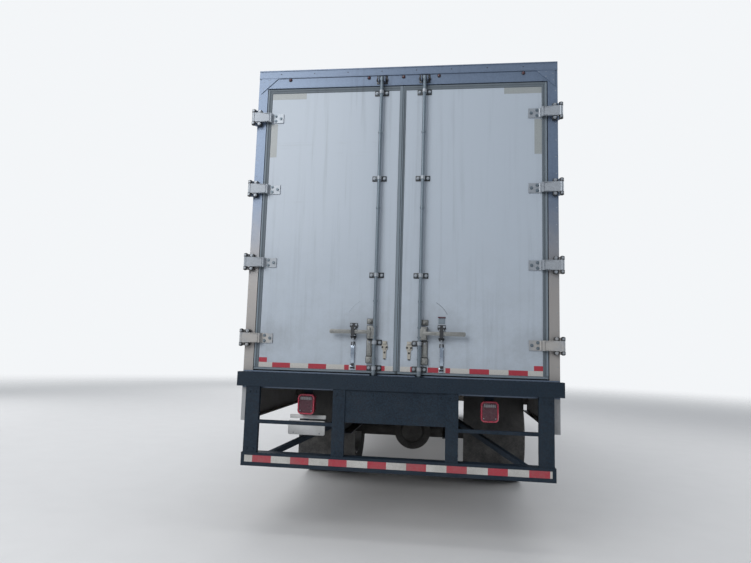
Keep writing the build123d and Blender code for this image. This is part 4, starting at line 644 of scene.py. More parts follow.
    # The rails along the bottom and the top are part of the same solid, so a band at each height is galvanised
    rails = use_group(tree, "Level band", Low=BODY_LOW, High=BODY_LOW + BOTTOM_RAIL)
    top = use_group(tree, "Level band", Low=ROOF - TOP_RAIL, High=ROOF)
    edge = maths(tree, "ADD", rails, top, clamp=True)
    cells = use_group(tree, "Zinc spangle", "Value", Scale=150.0, Contrast=0.3)
    rail = tint(tree, cells, paint.galvanised, shade(paint.galvanised, 1.5))
    low_dust = use_group(tree, "Road dust", Amount=0.4, Low=0.9, High=1.9)
    rail = tint(tree, low_dust, rail, paint.dust)
    tree.links.new(tint(tree, edge, now, rail), shader.inputs["Base Color"])
    tree.links.new(maths(tree, "MULTIPLY", edge, 0.55), shader.inputs["Metallic"])

    tree, shader, now = coated(
        "frame_steel", paint.galvanised, 0.36, 0.3, spangle=(110.0, 0.16), streaks=0.3, dust=(0.3, 1.0, 2.2),
        scratches=(0.5, upright, (0.40, 0.40, 0.38)),
    )
    # The lower half of the two posts is painted a warm grey, a painted reflection of the ground, below the blue of
    # the upper part
    place = here(tree)
    parts = add_node(tree, "SeparateXYZ", {0: place}).outputs
    height = maths(tree, "MULTIPLY_ADD", noise(tree, place, 9.0, 5.0), 0.3, parts["Z"])
    low = maths(tree, "SUBTRACT", 1.0, ramp_between(tree, height, SILL + 0.75, SILL + 1.65))
    on_post = maths(tree, "GREATER_THAN", maths(tree, "ABSOLUTE", parts["X"]), 1.14)
    low = maths(tree, "MULTIPLY", low, on_post)
    low = maths(tree, "MULTIPLY", low, maths(tree, "GREATER_THAN", parts["Z"], SILL))
    now = tint(tree, maths(tree, "MULTIPLY", low, 0.9), now, paint.post_ground_reflection)
    rusty = maths(tree, "MULTIPLY", use_group(tree, "Paint wear", Amount=0.5, Scale=26.0), low)
    now = tint(tree, maths(tree, "MULTIPLY", rusty, 0.6), now, (0.10, 0.065, 0.045))
    tree.links.new(now, shader.inputs["Base Color"])

    tree, shader = new_material("floor_wood", Roughness=0.55)
    tone = use_group(tree, "Boards", "Tone", Width=0.14, Gap=0.03)
    joint = use_group(tree, "Boards", "Height", Width=0.14, Gap=0.03)
    grain = noise(tree, stretched(tree, (30.0, 1.2, 30.0)), 6.0, 6.0, 0.65)
    wood = tint(tree, grain, (0.20, 0.115, 0.058), (0.42, 0.27, 0.15))
    wood = tint(tree, maths(tree, "MULTIPLY", tone, 0.4), wood, (0.24, 0.17, 0.11))
    worn = use_group(tree, "Paint wear", Amount=0.5, Scale=4.0)
    wood = tint(tree, maths(tree, "MULTIPLY", worn, 0.5), wood, (0.30, 0.28, 0.26))
    tree.links.new(tint(tree, joint, (0.03, 0.022, 0.016), wood), shader.inputs["Base Color"])
    bump(tree, shader, maths(tree, "MULTIPLY_ADD", grain, 0.2, joint), 0.002)

    tree, shader = new_material("tyre_black", Roughness=0.78)
    grain = use_group(tree, "Fine grain", "Value", Scale=240.0, Contrast=1.0)
    rubber = tint(tree, grain, (0.012, 0.012, 0.013), (0.034, 0.034, 0.035))
    caked = use_group(tree, "Road dust", Amount=0.62, Low=0.0, High=1.7, Scale=11.0)
    tree.links.new(tint(tree, caked, rubber, (0.12, 0.112, 0.10)), shader.inputs["Base Color"])
    bump(tree, shader, use_group(tree, "Fine grain", "Height", Scale=240.0), 0.0006)

    tree, shader = new_material("seat_fabric", Roughness=0.9, Sheen_Weight=0.4)
    weave = noise(tree, here(tree), 700.0, 2.0)
    threads = use_group(tree, "Bead pattern", Scale=320.0)
    cloth = tint(tree, weave, (0.05, 0.055, 0.065), (0.15, 0.16, 0.18))
    tree.links.new(tint(tree, threads, (0.04, 0.042, 0.05), cloth), shader.inputs["Base Color"])
    bump(tree, shader, threads, 0.0008)

    glass_material("window_glass", (0.035, 0.048, 0.052), 0.36)
    lens_material("lamp_red", paint.lens)
    lens_material("lamp_bright_red", (0.50, 0.02, 0.06))
    lens_material("lamp_deep", (0.075, 0.008, 0.022), 0.04)
    lens_material("lamp_smoke", (0.20, 0.165, 0.18), 0.04)
    lens_material("lamp_amber", (0.72, 0.24, 0.02))
    lens_material("lamp_clear", (0.62, 0.64, 0.66))
    tape_material("tape_red", paint.tape_red)
    tape_material("tape_white", paint.tape_white)
    # White tape of the corner marks, darkened by painted shade
    tape_material("tape_beige", paint.tape_beige)


# Operators ----------------------------------------------------------------------------------------


class BOXTRUCK_OT_materials(bpy.types.Operator):
    """Build every material and give each CAD node the one of its record slot"""

    bl_idname = "box_truck.materials"
    bl_label = "Materials"

    def execute(self, context):
        build_materials()
        for entry in frame["record"]["subparts"]:
            node = frame["nodes"][entry["node"]]
            node.data.materials.clear()
            node.data.materials.append(bpy.data.materials[entry["material_slot"]])
        return {"FINISHED"}


class BOXTRUCK_OT_door_seals(bpy.types.Operator):
    """Rubber seals round both rear doors, with the paler strips in the middle and along the bottom"""

    bl_idname = "box_truck.door_seals"
    bl_label = "Door seals"

    def execute(self, context):
        bulge = context.scene.truck_sizes.seal_bulge
        # share of the strip's width, out from the door's face
        lip = ((0.04, -0.005), (0.04, 0.0), (0.2, bulge), (0.42, bulge), (0.5, 0.001), (0.6, 0.001), (0.68, bulge),
               (0.9, bulge), (1.0, -0.001), (1.0, -0.005))
        for name, s in SIDES:
            low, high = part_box(f"rear_door_{name}")
            inner, outer = sorted((abs(low[0]), abs(high[0])))
            # place across, place up, and how far the strip reaches in from there
            corners = (
                (0.0008, low[2], 0.0252, 0.020),
                (outer, low[2], -0.041, 0.020),
                (outer, high[2], -0.041, -0.041),
                (0.0008, high[2], 0.0252, -0.041),
            )
            bm = bmesh.new()
            moulding(bm, [
                [(s * (x + across * part), REAR - out, z + up * part) for part, out in lip]
                for x, z, across, up in corners
            ])
            finish_piece(f"door_seal_{name}", bm, "seal_grey", f"rear_door_{name}")
            bm = bmesh.new()
            upright = (0.03, high[2] - SILL - 0.004)
            rear_block(bm, span(s, 0.0012, 0.010 if s > 0 else 0.023), (0.0005, 0.0065), upright, 0.002)
            rear_block(bm, span(s, inner + 0.006, outer - 0.004), (0.0, 0.006), (0.0085, 0.022), 0.002)
            rear_block(bm, span(s, outer - 0.015, outer - 0.002), (0.0, 0.0065), upright, 0.002)
            finish_piece(f"door_seal_strip_{name}", bm, "seal_pale", f"rear_door_{name}")
        return {"FINISHED"}


class BOXTRUCK_OT_tyres(bpy.types.Operator):
    """Tyres with ribs, tread blocks, shoulder lugs and sidewall rings, in place of the plain ones"""

    bl_idname = "box_truck.tyres"
    bl_label = "Tyres"

    def execute(self, context):
        depth = context.scene.truck_sizes.tread_depth
        for name, _ in SIDES:
            for kind, body, middles in (
                ("front_tyre", "front_wheel", (0.0,)), ("rear_tyres", "rear_wheels", (-0.165, 0.165))
            ):
                low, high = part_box(f"{kind}_{name}")
                centre = (Vector(low) + Vector(high)) / 2
                bm = bmesh.new()
                for shift in middles:
                    self.one_tyre(bm, centre + Vector((shift, 0, 0)), (high[2] - low[2]) / 2 - 0.0005, depth)
                plain = [f"{kind}_{name}"]
                finish_piece(f"{kind}_tread_{name}", bm, "tyre_black", f"{body}_{name}", plain)
        return {"FINISHED"}

    def one_tyre(self, bm, centre, radius, depth):
        """One tyre about its centre, with grooves of the given depth."""
        carcass, blocks = radius - depth, 60
        # radius, distance from the middle: bead, sidewall with two raised rings, shoulder, tread
        half = [
            (0.287, 0.100), (0.292, 0.112), (0.305, 0.117), (0.318, 0.117), (0.323, 0.121), (0.340, 0.1235),
            (0.344, 0.1255), (0.349, 0.1255), (0.353, 0.127), (0.385, 0.1325), (0.412, 0.134), (0.416, 0.1355),
            (0.421, 0.1355), (0.425, 0.1335), (0.450, 0.128), (0.468, 0.120), (carcass - 0.004, 0.112),
            (carcass, 0.098),
        ]
        profile = [(r, -x) for r, x in half] + [(carcass, 0.0)] + [(r, x) for r, x in reversed(half)]
        profile += [(0.287, 0.0)]
        spun(bm, profile, centre, (1, 0, 0), 72, closed=True)
        # distance from the middle, width, length and turn of each row's blocks
        for across, width, long, turn in (
            (-0.099, 0.040, 0.030, 0.0),
            (-0.0515, 0.040, 0.037, 0.35),
            (0.0, 0.046, 0.038, -0.35),
            (0.0515, 0.040, 0.037, 0.35),
            (0.099, 0.040, 0.030, 0.0),
        ):
            place = Matrix.Translation(centre + Vector((across, 0, radius - depth / 2 - 0.002)))
            size = Matrix.Diagonal((width, long, depth + 0.003, 1.0))
            verts = bmesh.ops.create_cube(bm, size=1.0, matrix=place @ Matrix.Rotation(turn, 4, "Z") @ size)["verts"]
            # Rows further out start further round, so that the blocks don't stand in line
            start = Matrix.Rotation(abs(across) * 9.0, 4, "X")
            bmesh.ops.rotate(bm, verts=verts, cent=centre, matrix=start)
            geom = verts + of_verts(verts, "link_edges") + of_verts(verts, "link_faces")
            bmesh.ops.spin(
                bm, geom=geom, cent=centre, axis=(1, 0, 0), angle=math.tau * (blocks - 1) / blocks, steps=blocks - 1,
                use_duplicate=True,
            )


class BOXTRUCK_OT_lock_gear(bpy.types.Operator):
    """Lock rods with guides, cams, hubs and handles, and the small fittings beside them"""

    bl_idname = "box_truck.lock_gear"
    bl_label = "Lock gear"

    def execute(self, context):
        sizes = context.scene.truck_sizes
        for name, s in SIDES:
            body = f"rear_door_{name}"
            low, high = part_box(f"lock_gear_{name}")
            top, bottom = high[2] - SILL, low[2] - SILL
            bm, shadow_plates, saddles = meshes(3)
            self.on_rod(bm, s, bottom, top, sizes.rod_radius, 24)
            for up in (0.049, 0.245, 0.771, ROOF - SILL - 0.948, ROOF - SILL - 0.229):
                self.guide(bm, shadow_plates, saddles, s * ROD_X, up, sizes)
            # Dark plates behind the gear, a painted shadow that outlines its fittings: across, how far out they
            # reach, and up
            for across, out, up in (
                ((0.192, 0.237), 0.0095, (0.138, 0.266)), ((0.183, 0.240), 0.020, (0.085, 0.138)),
                ((0.184, 0.238), 0.0075, (0.386, 0.429)), ((0.190, 0.233), 0.043, (0.270, 0.375)),
            ):
                rear_block(shadow_plates, span(s, *across), (0.0, out), up, 0.002)
            finish_piece(f"gear_backing_{name}", shadow_plates, "retainer_dark", body)
            # Cams at both ends of the rod, and collars along it
            for up in (bottom + 0.012, top - 0.030):
                rear_block(bm, (s * ROD_X - 0.013, s * ROD_X + 0.013), (0.0195, 0.0485), (up, up + 0.022), 0.004, 2)
                self.on_rod(bm, s, up - 0.006, up + 0.028, 0.0165)
            for up in (0.118, 0.205, 0.285, 0.360, 0.560, 1.30, 1.92):
                self.on_rod(bm, s, up, up + 0.012, 0.0175)
            finish_piece(f"lock_gear_trim_{name}", bm, "lock_zinc", body, [f"lock_gear_{name}"])

            # Hub on the rod with the handle's pivot, and the plates below and above it
            bm = bmesh.new()
            rear_block(bm, span(s, ROD_X - 0.004, 0.230), (0.020, 0.047), (0.273, 0.372), 0.004, 2)
            rear_block(bm, span(s, 0.205, 0.226), (0.047, 0.056), (0.285, 0.361), 0.003, 2)
            for up in (0.352, 0.290):
                rear_bolt(bm, s * 0.215, 0.047, up, sizes.bolt_radius)
            rear_block(bm, span(s, 0.195, 0.234), (0.0, 0.012), (0.141, 0.263), 0.003, 2)
            rear_block(bm, span(s, 0.203, 0.226), (0.012, 0.017), (0.158, 0.246), 0.002)
            rear_block(bm, span(s, 0.186, 0.237), (0.0, 0.024), (0.088, 0.135), 0.004, 2)
            rear_boss(bm, s * 0.212, (0.024, 0.032), 0.111, 0.015, 0.013, 20)
            rear_block(bm, span(s, 0.187, 0.235), (0.0, 0.010), (0.389, 0.426), 0.003, 2)
            rear_boss(bm, s * 0.211, (0.010, 0.026), 0.408, 0.014, 0.012, 20)
            rear_bolt(bm, s * 0.211, 0.026, 0.408, sizes.bolt_radius * 0.8)

            # Handle: a flat bar with a rounded grip, thicker at its root
            corners = ((0.199, 0.311), (0.523, 0.306), (0.523, 0.340), (0.199, 0.337))
            grip = rounded([(x, 0.0, up) for x, up in corners], 0.0125)
            outline = [on_rear(s * place.x, 0.0478, place.z) for place in grip]
            plate(bm, outline, (0, -0.010, 0), 0.003, 2)
            rear_block(bm, span(s, 0.236, 0.300), (0.0475, 0.0595), (0.315, 0.333), 0.004, 2)
            rear_boss(bm, s * 0.500, (0.046, 0.0605), 0.323, 0.009, 0.008, 16)
            finish_piece(f"handle_hub_{name}", bm, "handle_zinc", body)

            # Retainer that holds the handle, with its catch and padlock eye
            bm = bmesh.new()
            shape = [(0.312, 0.392), (0.370, 0.392), (0.373, 0.362), (0.357, 0.345), (0.357, 0.300), (0.366, 0.284),
                     (0.352, 0.262), (0.330, 0.262), (0.316, 0.284), (0.325, 0.300), (0.325, 0.345), (0.309, 0.362)]
            plate(bm, [on_rear(s * x, 0.001, up) for x, up in shape], (0, -0.007, 0), 0.0015)
            for up in (0.291, 0.346):
                rear_block(saddles, span(s, 0.322, 0.360), (0.006, 0.063), (up, up + 0.009), 0.002)
            rear_block(bm, span(s, 0.327, 0.355), (0.058, 0.064), (0.291, 0.355), 0.002)
            spun(bm, [(0.0, 0.0), (0.011, 0.0), (0.0135, 0.006), (0.0115, 0.013), (0.0, 0.015)],
                 on_rear(s * 0.341, 0.008, 0.276), BACKWARD, 16)
            finish_piece(f"handle_retainer_{name}", bm, "retainer_dark", body)
            for x, up in ((0.322, 0.379), (0.360, 0.379), (0.341, 0.267)):
                rear_bolt(saddles, s * x, 0.008 if up > 0.3 else 0.022, up, sizes.bolt_radius * 0.7)
            finish_piece(f"retainer_bolts_{name}", saddles, "hardware", body)

            # Worn arcs where the handle swings, and a small pull tag above the right retainer
            bm = bmesh.new()
            path = []
            for step in range(13):
                turn, reach = math.radians(34 + 2.6 * step), 0.228 + 0.0011 * step
                path.append(on_rear(s * (0.195 + reach * math.cos(turn)), 0.0002, 0.345 + reach * math.sin(turn)))
            width, material = (0.0011, "retainer_dark") if s > 0 else (0.0007, "seal_pale")
            tube(bm, path, width)
            finish_piece(f"handle_arc_{name}", bm, material, body)
            if s > 0:
                bm = bmesh.new()
                rear_block(bm, (0.316, 0.366), (0.0, 0.004), (0.402, 0.442), 0.002)
                finish_piece("pull_tag", bm, "seal_pale", body)
                bm = bmesh.new()
                rear_block(bm, (0.312, 0.370), (0.0, 0.006), (0.444, 0.455), 0.002)
                finish_piece("pull_tag_band", bm, "lamp_deep", body)

            # Hold-back: hook, spring strap and foot
            bm = bmesh.new()
            strip = [(0.006, 0.080), (0.010, 0.100), (0.014, 0.150), (0.012, 0.200), (0.008, 0.222)]
            strip += [(out + 0.0025, up) for out, up in reversed(strip)]
            plate(bm, [on_rear(s * 0.330, out, up) for out, up in strip], (s * 0.027, 0, 0), 0.0008)
            rear_block(bm, span(s, 0.324, 0.361), (0.0, 0.006), (0.029, 0.062), 0.002, 2)
            finish_piece(f"holdback_strap_{name}", bm, "bright_steel", body)
            bm = bmesh.new()
            rear_block(bm, span(s, 0.325, 0.360), (0.0, 0.005), (0.216, 0.246), 0.002, 2)
            for x in (0.334, 0.351):
                rear_bolt(bm, s * x, 0.006, 0.046, 0.0065)
            rear_block(bm, span(s, 0.331, 0.356), (0.006, 0.016), (0.060, 0.080), 0.003, 2)
            finish_piece(f"holdback_feet_{name}", bm, "retainer_dark", body)
            bm = bmesh.new()
            hook = [(0.004, 0.236), (0.016, 0.240), (0.022, 0.232), (0.019, 0.222), (0.010, 0.219)]
            tube(bm, [on_rear(s * 0.342, out, up) for out, up in hook], 0.0055)
            rear_boss(bm, s * 0.342, (0.004, 0.018), 0.231, 0.010, 0.008, 16)
            finish_piece(f"holdback_hook_{name}", bm, "hardware", body)

            # Stop bracket near the middle: a T plate with bolts down its leg
            bm = bmesh.new()
            shape = [(0.077, 0.258), (0.113, 0.258), (0.113, 0.232), (0.119, 0.224), (0.119, 0.198), (0.108, 0.188),
                     (0.106, 0.124), (0.099, 0.117), (0.089, 0.117), (0.083, 0.124), (0.081, 0.188), (0.071, 0.198),
                     (0.071, 0.224), (0.077, 0.232)]
            plate(bm, [on_rear(s * x, 0.0005, up) for x, up in shape], (0, -0.0055, 0), 0.0012)
            rear_block(bm, span(s, 0.081, 0.109), (0.006, 0.014), (0.234, 0.254), 0.003, 2)
            rear_boss(bm, s * 0.095, (0.004, 0.015), 0.205, 0.010, 0.008, 16)
            finish_piece(f"stop_bracket_{name}", bm, "bracket_beige", body)
            bm = bmesh.new()
            for x, up in ((0.0785, 0.211), (0.1115, 0.211), (0.0945, 0.170)):
                rear_bolt(bm, s * x, 0.006, up, 0.0052)
            rear_block(bm, span(s, 0.086, 0.102), (0.0, 0.0085), (0.117, 0.125), 0.002)
            finish_piece(f"stop_bolts_{name}", bm, "retainer_dark", body)
        return {"FINISHED"}

    def on_rod(self, bm, s, bottom, top, radius, sides=20):
        """The lock rod on the side s, or a collar on it."""
        rod(bm, on_rear(s * ROD_X, ROD_OUT, bottom), on_rear(s * ROD_X, ROD_OUT, top), radius, sides=sides)

    def guide(self, bm, shadow_plates, saddles, x, up, sizes):
        """A dark plate on the door, a painted shadow round the guide, a bright saddle over the rod and two bolted
        bosses.
        """
        rear_block(shadow_plates, (x - 0.058, x + 0.058), (0.0, 0.0055), (up - 0.022, up + 0.022), 0.003, 2)
        turn = [math.pi * step / 10 for step in range(11)]
        edge = sizes.rod_radius + 0.0045
        saddle = [on_rear(x - edge * math.cos(a), ROD_OUT + edge * math.sin(a), up - 0.014) for a in turn]
        saddle = [on_rear(x - edge, 0.004, up - 0.014)] + saddle + [on_rear(x + edge, 0.004, up - 0.014)]
        plate(saddles, saddle, (0, 0, 0.028), 0.0015)
        for side in (-0.040, 0.040):
            rear_boss(bm, x + side, (0.0055, 0.012), up, 0.0145, 0.013, 20)
            rear_bolt(saddles, x + side, 0.012, up, sizes.bolt_radius * 0.85)


class BOXTRUCK_OT_hinge_fittings(bpy.types.Operator):
    """Bolts and ribs on the hinge straps, and caps on their pins"""

    bl_idname = "box_truck.hinge_fittings"
    bl_label = "Hinge fittings"

    def execute(self, context):
        radius = context.scene.truck_sizes.bolt_radius
        caps, studs = meshes(2)
        for name, s in SIDES:
            bolts, ribs = meshes(2)
            for hinge in HINGES:
                # The two lugs of the post, below and above the strap
                for low in (hinge - 0.066, hinge + 0.0385):
                    rear_block(caps, span(s, 1.172, 1.209), (0.0, 0.040), (low, low + 0.0275), 0.006, 2)
                    rear_bolt(studs, s * 1.190, 0.040, low + 0.014, radius)
                    self.on_pin(caps, s, low + 0.0007, low + 0.0265, 0.0163)
                    rear_bolt(studs, s * PIN_X, 0.061, low + 0.014, radius * 0.7)
                for x, rise in ((1.058, 0.021), (1.058, -0.021), (1.014, 0.0)):
                    rear_bolt(bolts, s * x, 0.008, hinge + rise, radius)
                for low in (hinge - 0.035, hinge + 0.031):
                    rear_block(ribs, span(s, 1.100, 1.215), (0.040, 0.0515), (low, low + 0.004), 0.001)
                web = ((1.104, 0.0505), (1.104, 0.040), (1.088, 0.0005), (1.072, 0.0005), (1.072, 0.009),
                       (1.082, 0.012))
                plate(ribs, [on_rear(s * x, out, hinge - 0.037) for x, out in web], (0, 0, 0.074), 0.0012)
                for way in (1, -1):
                    self.on_pin(caps, s, hinge + way * 0.063, hinge + way * 0.069, 0.0125, 0.009, 16)
            finish_piece(f"hinge_bolts_{name}", bolts, "lock_zinc", f"rear_door_{name}")
            finish_piece(f"hinge_ribs_{name}", ribs, "hardware", f"rear_door_{name}")
        finish_piece("hinge_pin_caps", caps, "retainer_dark", "chassis")
        finish_piece("hinge_studs", studs, "hardware", "chassis")
        return {"FINISHED"}

    def on_pin(self, bm, s, start, end, radius, end_radius=None, sides=20):
        """A round piece about the hinge pins on the side s."""
        rod(bm, on_rear(s * PIN_X, PIN_OUT, start), on_rear(s * PIN_X, PIN_OUT, end), radius, end_radius, sides)


class BOXTRUCK_OT_tape(bpy.types.Operator):
    """Red and white reflective tape on the doors, the guard and the body sides"""

    bl_idname = "box_truck.tape"
    bl_label = "Reflective tape"

    def execute(self, context):
        sizes = context.scene.truck_sizes
        thick = sizes.tape_thickness
        # Left to right across each door, as seen from behind: block edges and colours
        rows = {
            "left": ((-1.097, "W"), (-0.985, "R"), (-0.840, "W"), (-0.694, "R"), (-0.550, "W"), (-0.407, "R"),
                     (-0.371, "W"), (-0.316, "R"), (-0.231, ""), (-0.122, "R"), (-0.090, "W"), (-0.027, "")),
            "right": ((0.029, "W"), (0.107, "R"), (0.122, ""), (0.239, "R"), (0.321, "W"), (0.374, "R"), (0.410, "W"),
                      (0.554, "R"), (0.701, "W"), (0.844, "R"), (0.986, "W"), (1.0955, "")),
        }
        for name, s in SIDES:
            pieces = {"R": bmesh.new(), "W": bmesh.new()}
            for (start, key), (end, _) in zip(rows[name], rows[name][1:]):
                if key:
                    rear_block(pieces[key], (start, end), (0.0001, thick), (0.0285, 0.0285 + sizes.tape_height))
            rear_block(pieces["R"], span(s, 1.030, 1.0955), (0.0001, thick), (0.067, 0.104))
            finish_piece(f"door_tape_red_{name}", pieces["R"], "tape_red", f"rear_door_{name}")
            finish_piece(f"door_tape_white_{name}", pieces["W"], "tape_white", f"rear_door_{name}")
            # Corner marks: white tape in a darker grey, painted shade
            bm = bmesh.new()
            rear_block(bm, span(s, 0.806, 1.0955), (0.0001, thick), (2.243, 2.2935))
            rear_block(bm, span(s, 1.040, 1.0955), (0.0001, thick), (1.745, 2.030))
            finish_piece(f"corner_marks_{name}", bm, "tape_beige", f"rear_door_{name}")

        # Along the guard: where each block ends, white and red in turn
        guard = (-1.147, -1.084, -0.936, -0.785, -0.641, -0.490, -0.349, -0.193, -0.052, 0.097, 0.244, 0.393, 0.541,
                 0.691, 0.834, 0.984, 1.131, 1.147)
        pieces = meshes(2)
        middle, half = -0.665, sizes.guard_tape_height / 2
        for index, limits in enumerate(zip(guard, guard[1:])):
            rear_block(pieces[index % 2], limits, (0.0701, 0.07 + thick), (middle - half, middle + half))
        # Along the sides: short white and long red blocks, with a gap after every third pair
        low, high = BODY_LOW + 0.035, BODY_LOW + 0.085
        for s in (-1, 1):
            place, index = REAR + 0.13, 0
            while place < BODY_FRONT - 0.25:
                red = index % 2
                step = 0.28 if red else 0.18
                side_block(pieces[red], s, (SIDE + 0.0001, SIDE + thick), (place, place + step), (low, high))
                place += step + (0.0 if red else 0.0005) + (0.30 if index % 6 == 5 else 0.0)
                index += 1
        finish_piece("body_tape_white", pieces[0], "tape_white", "chassis")
        finish_piece("body_tape_red", pieces[1], "tape_red", "chassis")
        return {"FINISHED"}


class BOXTRUCK_OT_lamps(bpy.types.Operator):
    """Marker lamps on the header and body, tail lamp lenses, and lamps and reflectors at the front"""

    bl_idname = "box_truck.lamps"
    bl_label = "Lamps"

    def round_lamp(self, base, lens, place, facing, radius):
        """A small domed lamp in its cup."""
        cup = ((0.0, 0.0), (1.35, 0.0), (1.35, 0.3), (1.05, 0.55), (0.9, 0.4), (0.0, 0.4))
        dome = ((0.0, 0.4), (0.95, 0.4), (0.86, 0.75), (0.5, 1.0), (0.0, 1.08))
        for bm, shape in ((base, cup), (lens, dome)):
            spun(bm, [(radius * across, radius * along) for across, along in shape], place, facing, 20)

    def bar_lamp(self, base, lens, place, facing, wide, high):
        """A small rounded lamp on its foot; wide and high are vectors."""
        place, facing = Vector(place), Vector(facing)
        for bm, grow, start, depth in ((base, 1.12, 0.0, 0.008), (lens, 1.0, 0.007, 0.020)):
            corners = [place + facing * start + wide * a + high * b for a, b in rectangle(-grow, grow, -grow, grow)]
            outline = rounded(corners, min(wide.length, high.length) * 0.6, 4)
            plate(bm, outline, facing * depth, 0.003, 2)

    def side_lamp(self, base, lens, s, y, z):
        """A bar lamp on the side of the van body."""
        self.bar_lamp(base, lens, (s * SIDE, y, z), (s, 0, 0), Vector((0, 0.045, 0)), Vector((0, 0, 0.015)))

    def tail_outline(self, x, up, half_wide, half_high, radius, out):
        """The outline of one layer of a tail lamp about its middle."""
        corners = rectangle(x - half_wide, x + half_wide, up - half_high, up + half_high)
        return rounded([on_rear(a, out, b) for a, b in corners], radius, 5)

    def execute(self, context):
        base, lens, small, amber = meshes(4)
        for x in (-0.95, -0.285, 0.0, 0.288, 0.955):
            self.round_lamp(base, small, on_rear(x, 0.0, 2.412), BACKWARD, 0.011)
        finish_piece("header_lenses", small, "lamp_deep", "chassis")
        low, high = BODY_LOW + 0.118, ROOF - 0.075
        for s in (-1, 1):
            for z in (low, high):
                self.side_lamp(base, lens, s, REAR + 0.19, z)
        finish_piece("marker_lenses", lens, "lamp_red", "chassis")
        for s in (-1, 1):
            for y, z in ((BODY_FRONT - 0.22, low), (BODY_FRONT - 0.22, high), (-0.9, low)):
                self.side_lamp(base, amber, s, y, z)
        for x in (-0.76, -0.14, 0.0, 0.14, 0.76):
            place = (x, CAB_BACK + 0.70, 2.562)
            self.bar_lamp(base, amber, place, (0, 0, 1), Vector((0.034, 0, 0)), Vector((0, 0.05, 0)))
        finish_piece("amber_lenses", amber, "lamp_amber", "chassis")
        finish_piece("lamp_feet", base, "plastic_dark", "chassis")

        # Tail lamps: a bright rim round a darker lens with a clear strip across its top
        rim, dark, clear, screws, housing, hangers = meshes(6)
        face, up = -0.0600, -0.253
        strip = (up + 0.034, up + 0.056)
        for x in (-0.712, 0.712):
            ring(rim, [self.tail_outline(x, up, *size) for size in (
                (0.0675, 0.0790, 0.030, face), (0.0655, 0.0770, 0.029, face + 0.009),
                (0.0560, 0.0675, 0.020, face + 0.009), (0.0540, 0.0655, 0.019, face),
            )])
            plate(dark, self.tail_outline(x, up, 0.0546, 0.0661, 0.018, face - 0.001), (0, -0.006, 0), 0.001)
            rear_block(clear, (x - 0.044, x + 0.044), (face, face + 0.0085), strip, 0.003, 2)
            for index in range(7):
                bar = x - 0.0425 + 0.0138 * index
                rear_block(screws, (bar, bar + 0.002), (face, face + 0.0095), strip)
            # Housing behind the lens and the hanger it bolts to
            shell = self.tail_outline(x, up, 0.0685, 0.0800, 0.031, face - 0.0005)
            plate(housing, shell, (0, 0.060, 0), 0.006, 2)
            rear_block(hangers, (x - 0.035, x + 0.035), (face - 0.062, face - 0.070), (up - 0.05, -0.136), 0.002)
            for side in (-1, 1):
                rear_rivet(screws, x + side * 0.045, face + 0.005, up - 0.050, 0.005)
        finish_piece("tail_lamp_rims", rim, "lamp_bright_red", "chassis")
        finish_piece("tail_lamp_lenses", dark, "lamp_deep", "chassis")
        finish_piece("tail_lamp_strips", clear, "lamp_smoke", "chassis")
        finish_piece("tail_lamp_screws", screws, "hardware", "chassis")
        finish_piece("tail_lamp_housings", housing, "lamp_bright_red", "chassis", ["tail_lamps"])
        # The number plate's own hanger, under the left lamp
        rear_block(hangers, (-0.740, -0.700), (-0.1355, -0.1435), (-0.470, -0.136), 0.002)
        finish_piece("lamp_hangers", hangers, "guard_black", "chassis")

        # Head lamps: a dark bezel and tray, a large and two small chrome bowls, and two amber strips
        bezel, bowls, corner, trays = meshes(4)
        low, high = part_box("headlamps")
        front = high[1]
        for s in (-1, 1):
            edges = []
            for grow, out in ((0.012, -0.004), (0.010, 0.010), (-0.004, 0.010), (-0.008, -0.002)):
                corners = rectangle(*span(s, 0.74 - grow, 0.94 + grow), low[2] - grow, high[2] + grow)
                edges.append([(x, front + out, z) for x, z in corners])
            ring(bezel, edges)
            for x, z, size in ((0.792, 1.012, 0.047), (0.868, 0.960, 0.024), (0.868, 1.020, 0.024)):
                bowl = [(size, 0.006), (size + 0.003, 0.009), (size, 0.012), (size * 0.8, 0.006), (size * 0.5, 0.002),
                        (size * 0.2, 0.001), (0.0, 0.001)]
                spun(bowls, bowl, (s * x, front - 0.0005, z), FORWARD, 28)
            up = (low[2] + 0.008, high[2] - 0.008)
            side_block(trays, s, (0.748, 0.900), (front - 0.001, front + 0.003), up, 0.002)
            side_block(corner, s, (0.904, 0.934), (front - 0.002, front + 0.009), up, 0.003, 2)
            up = (low[2] + 0.010, low[2] + 0.036)
            side_block(corner, s, (0.752, 0.896), (front + 0.002, front + 0.009), up, 0.003, 2)
        finish_piece("headlamp_trays", trays, "plastic_dark", "hood")
        finish_piece("headlamp_bezels", bezel, "seal_black", "hood")
        finish_piece("headlamp_bowls", bowls, "chrome", "hood")
        finish_piece("turn_lenses", corner, "lamp_amber", "hood")
        return {"FINISHED"}


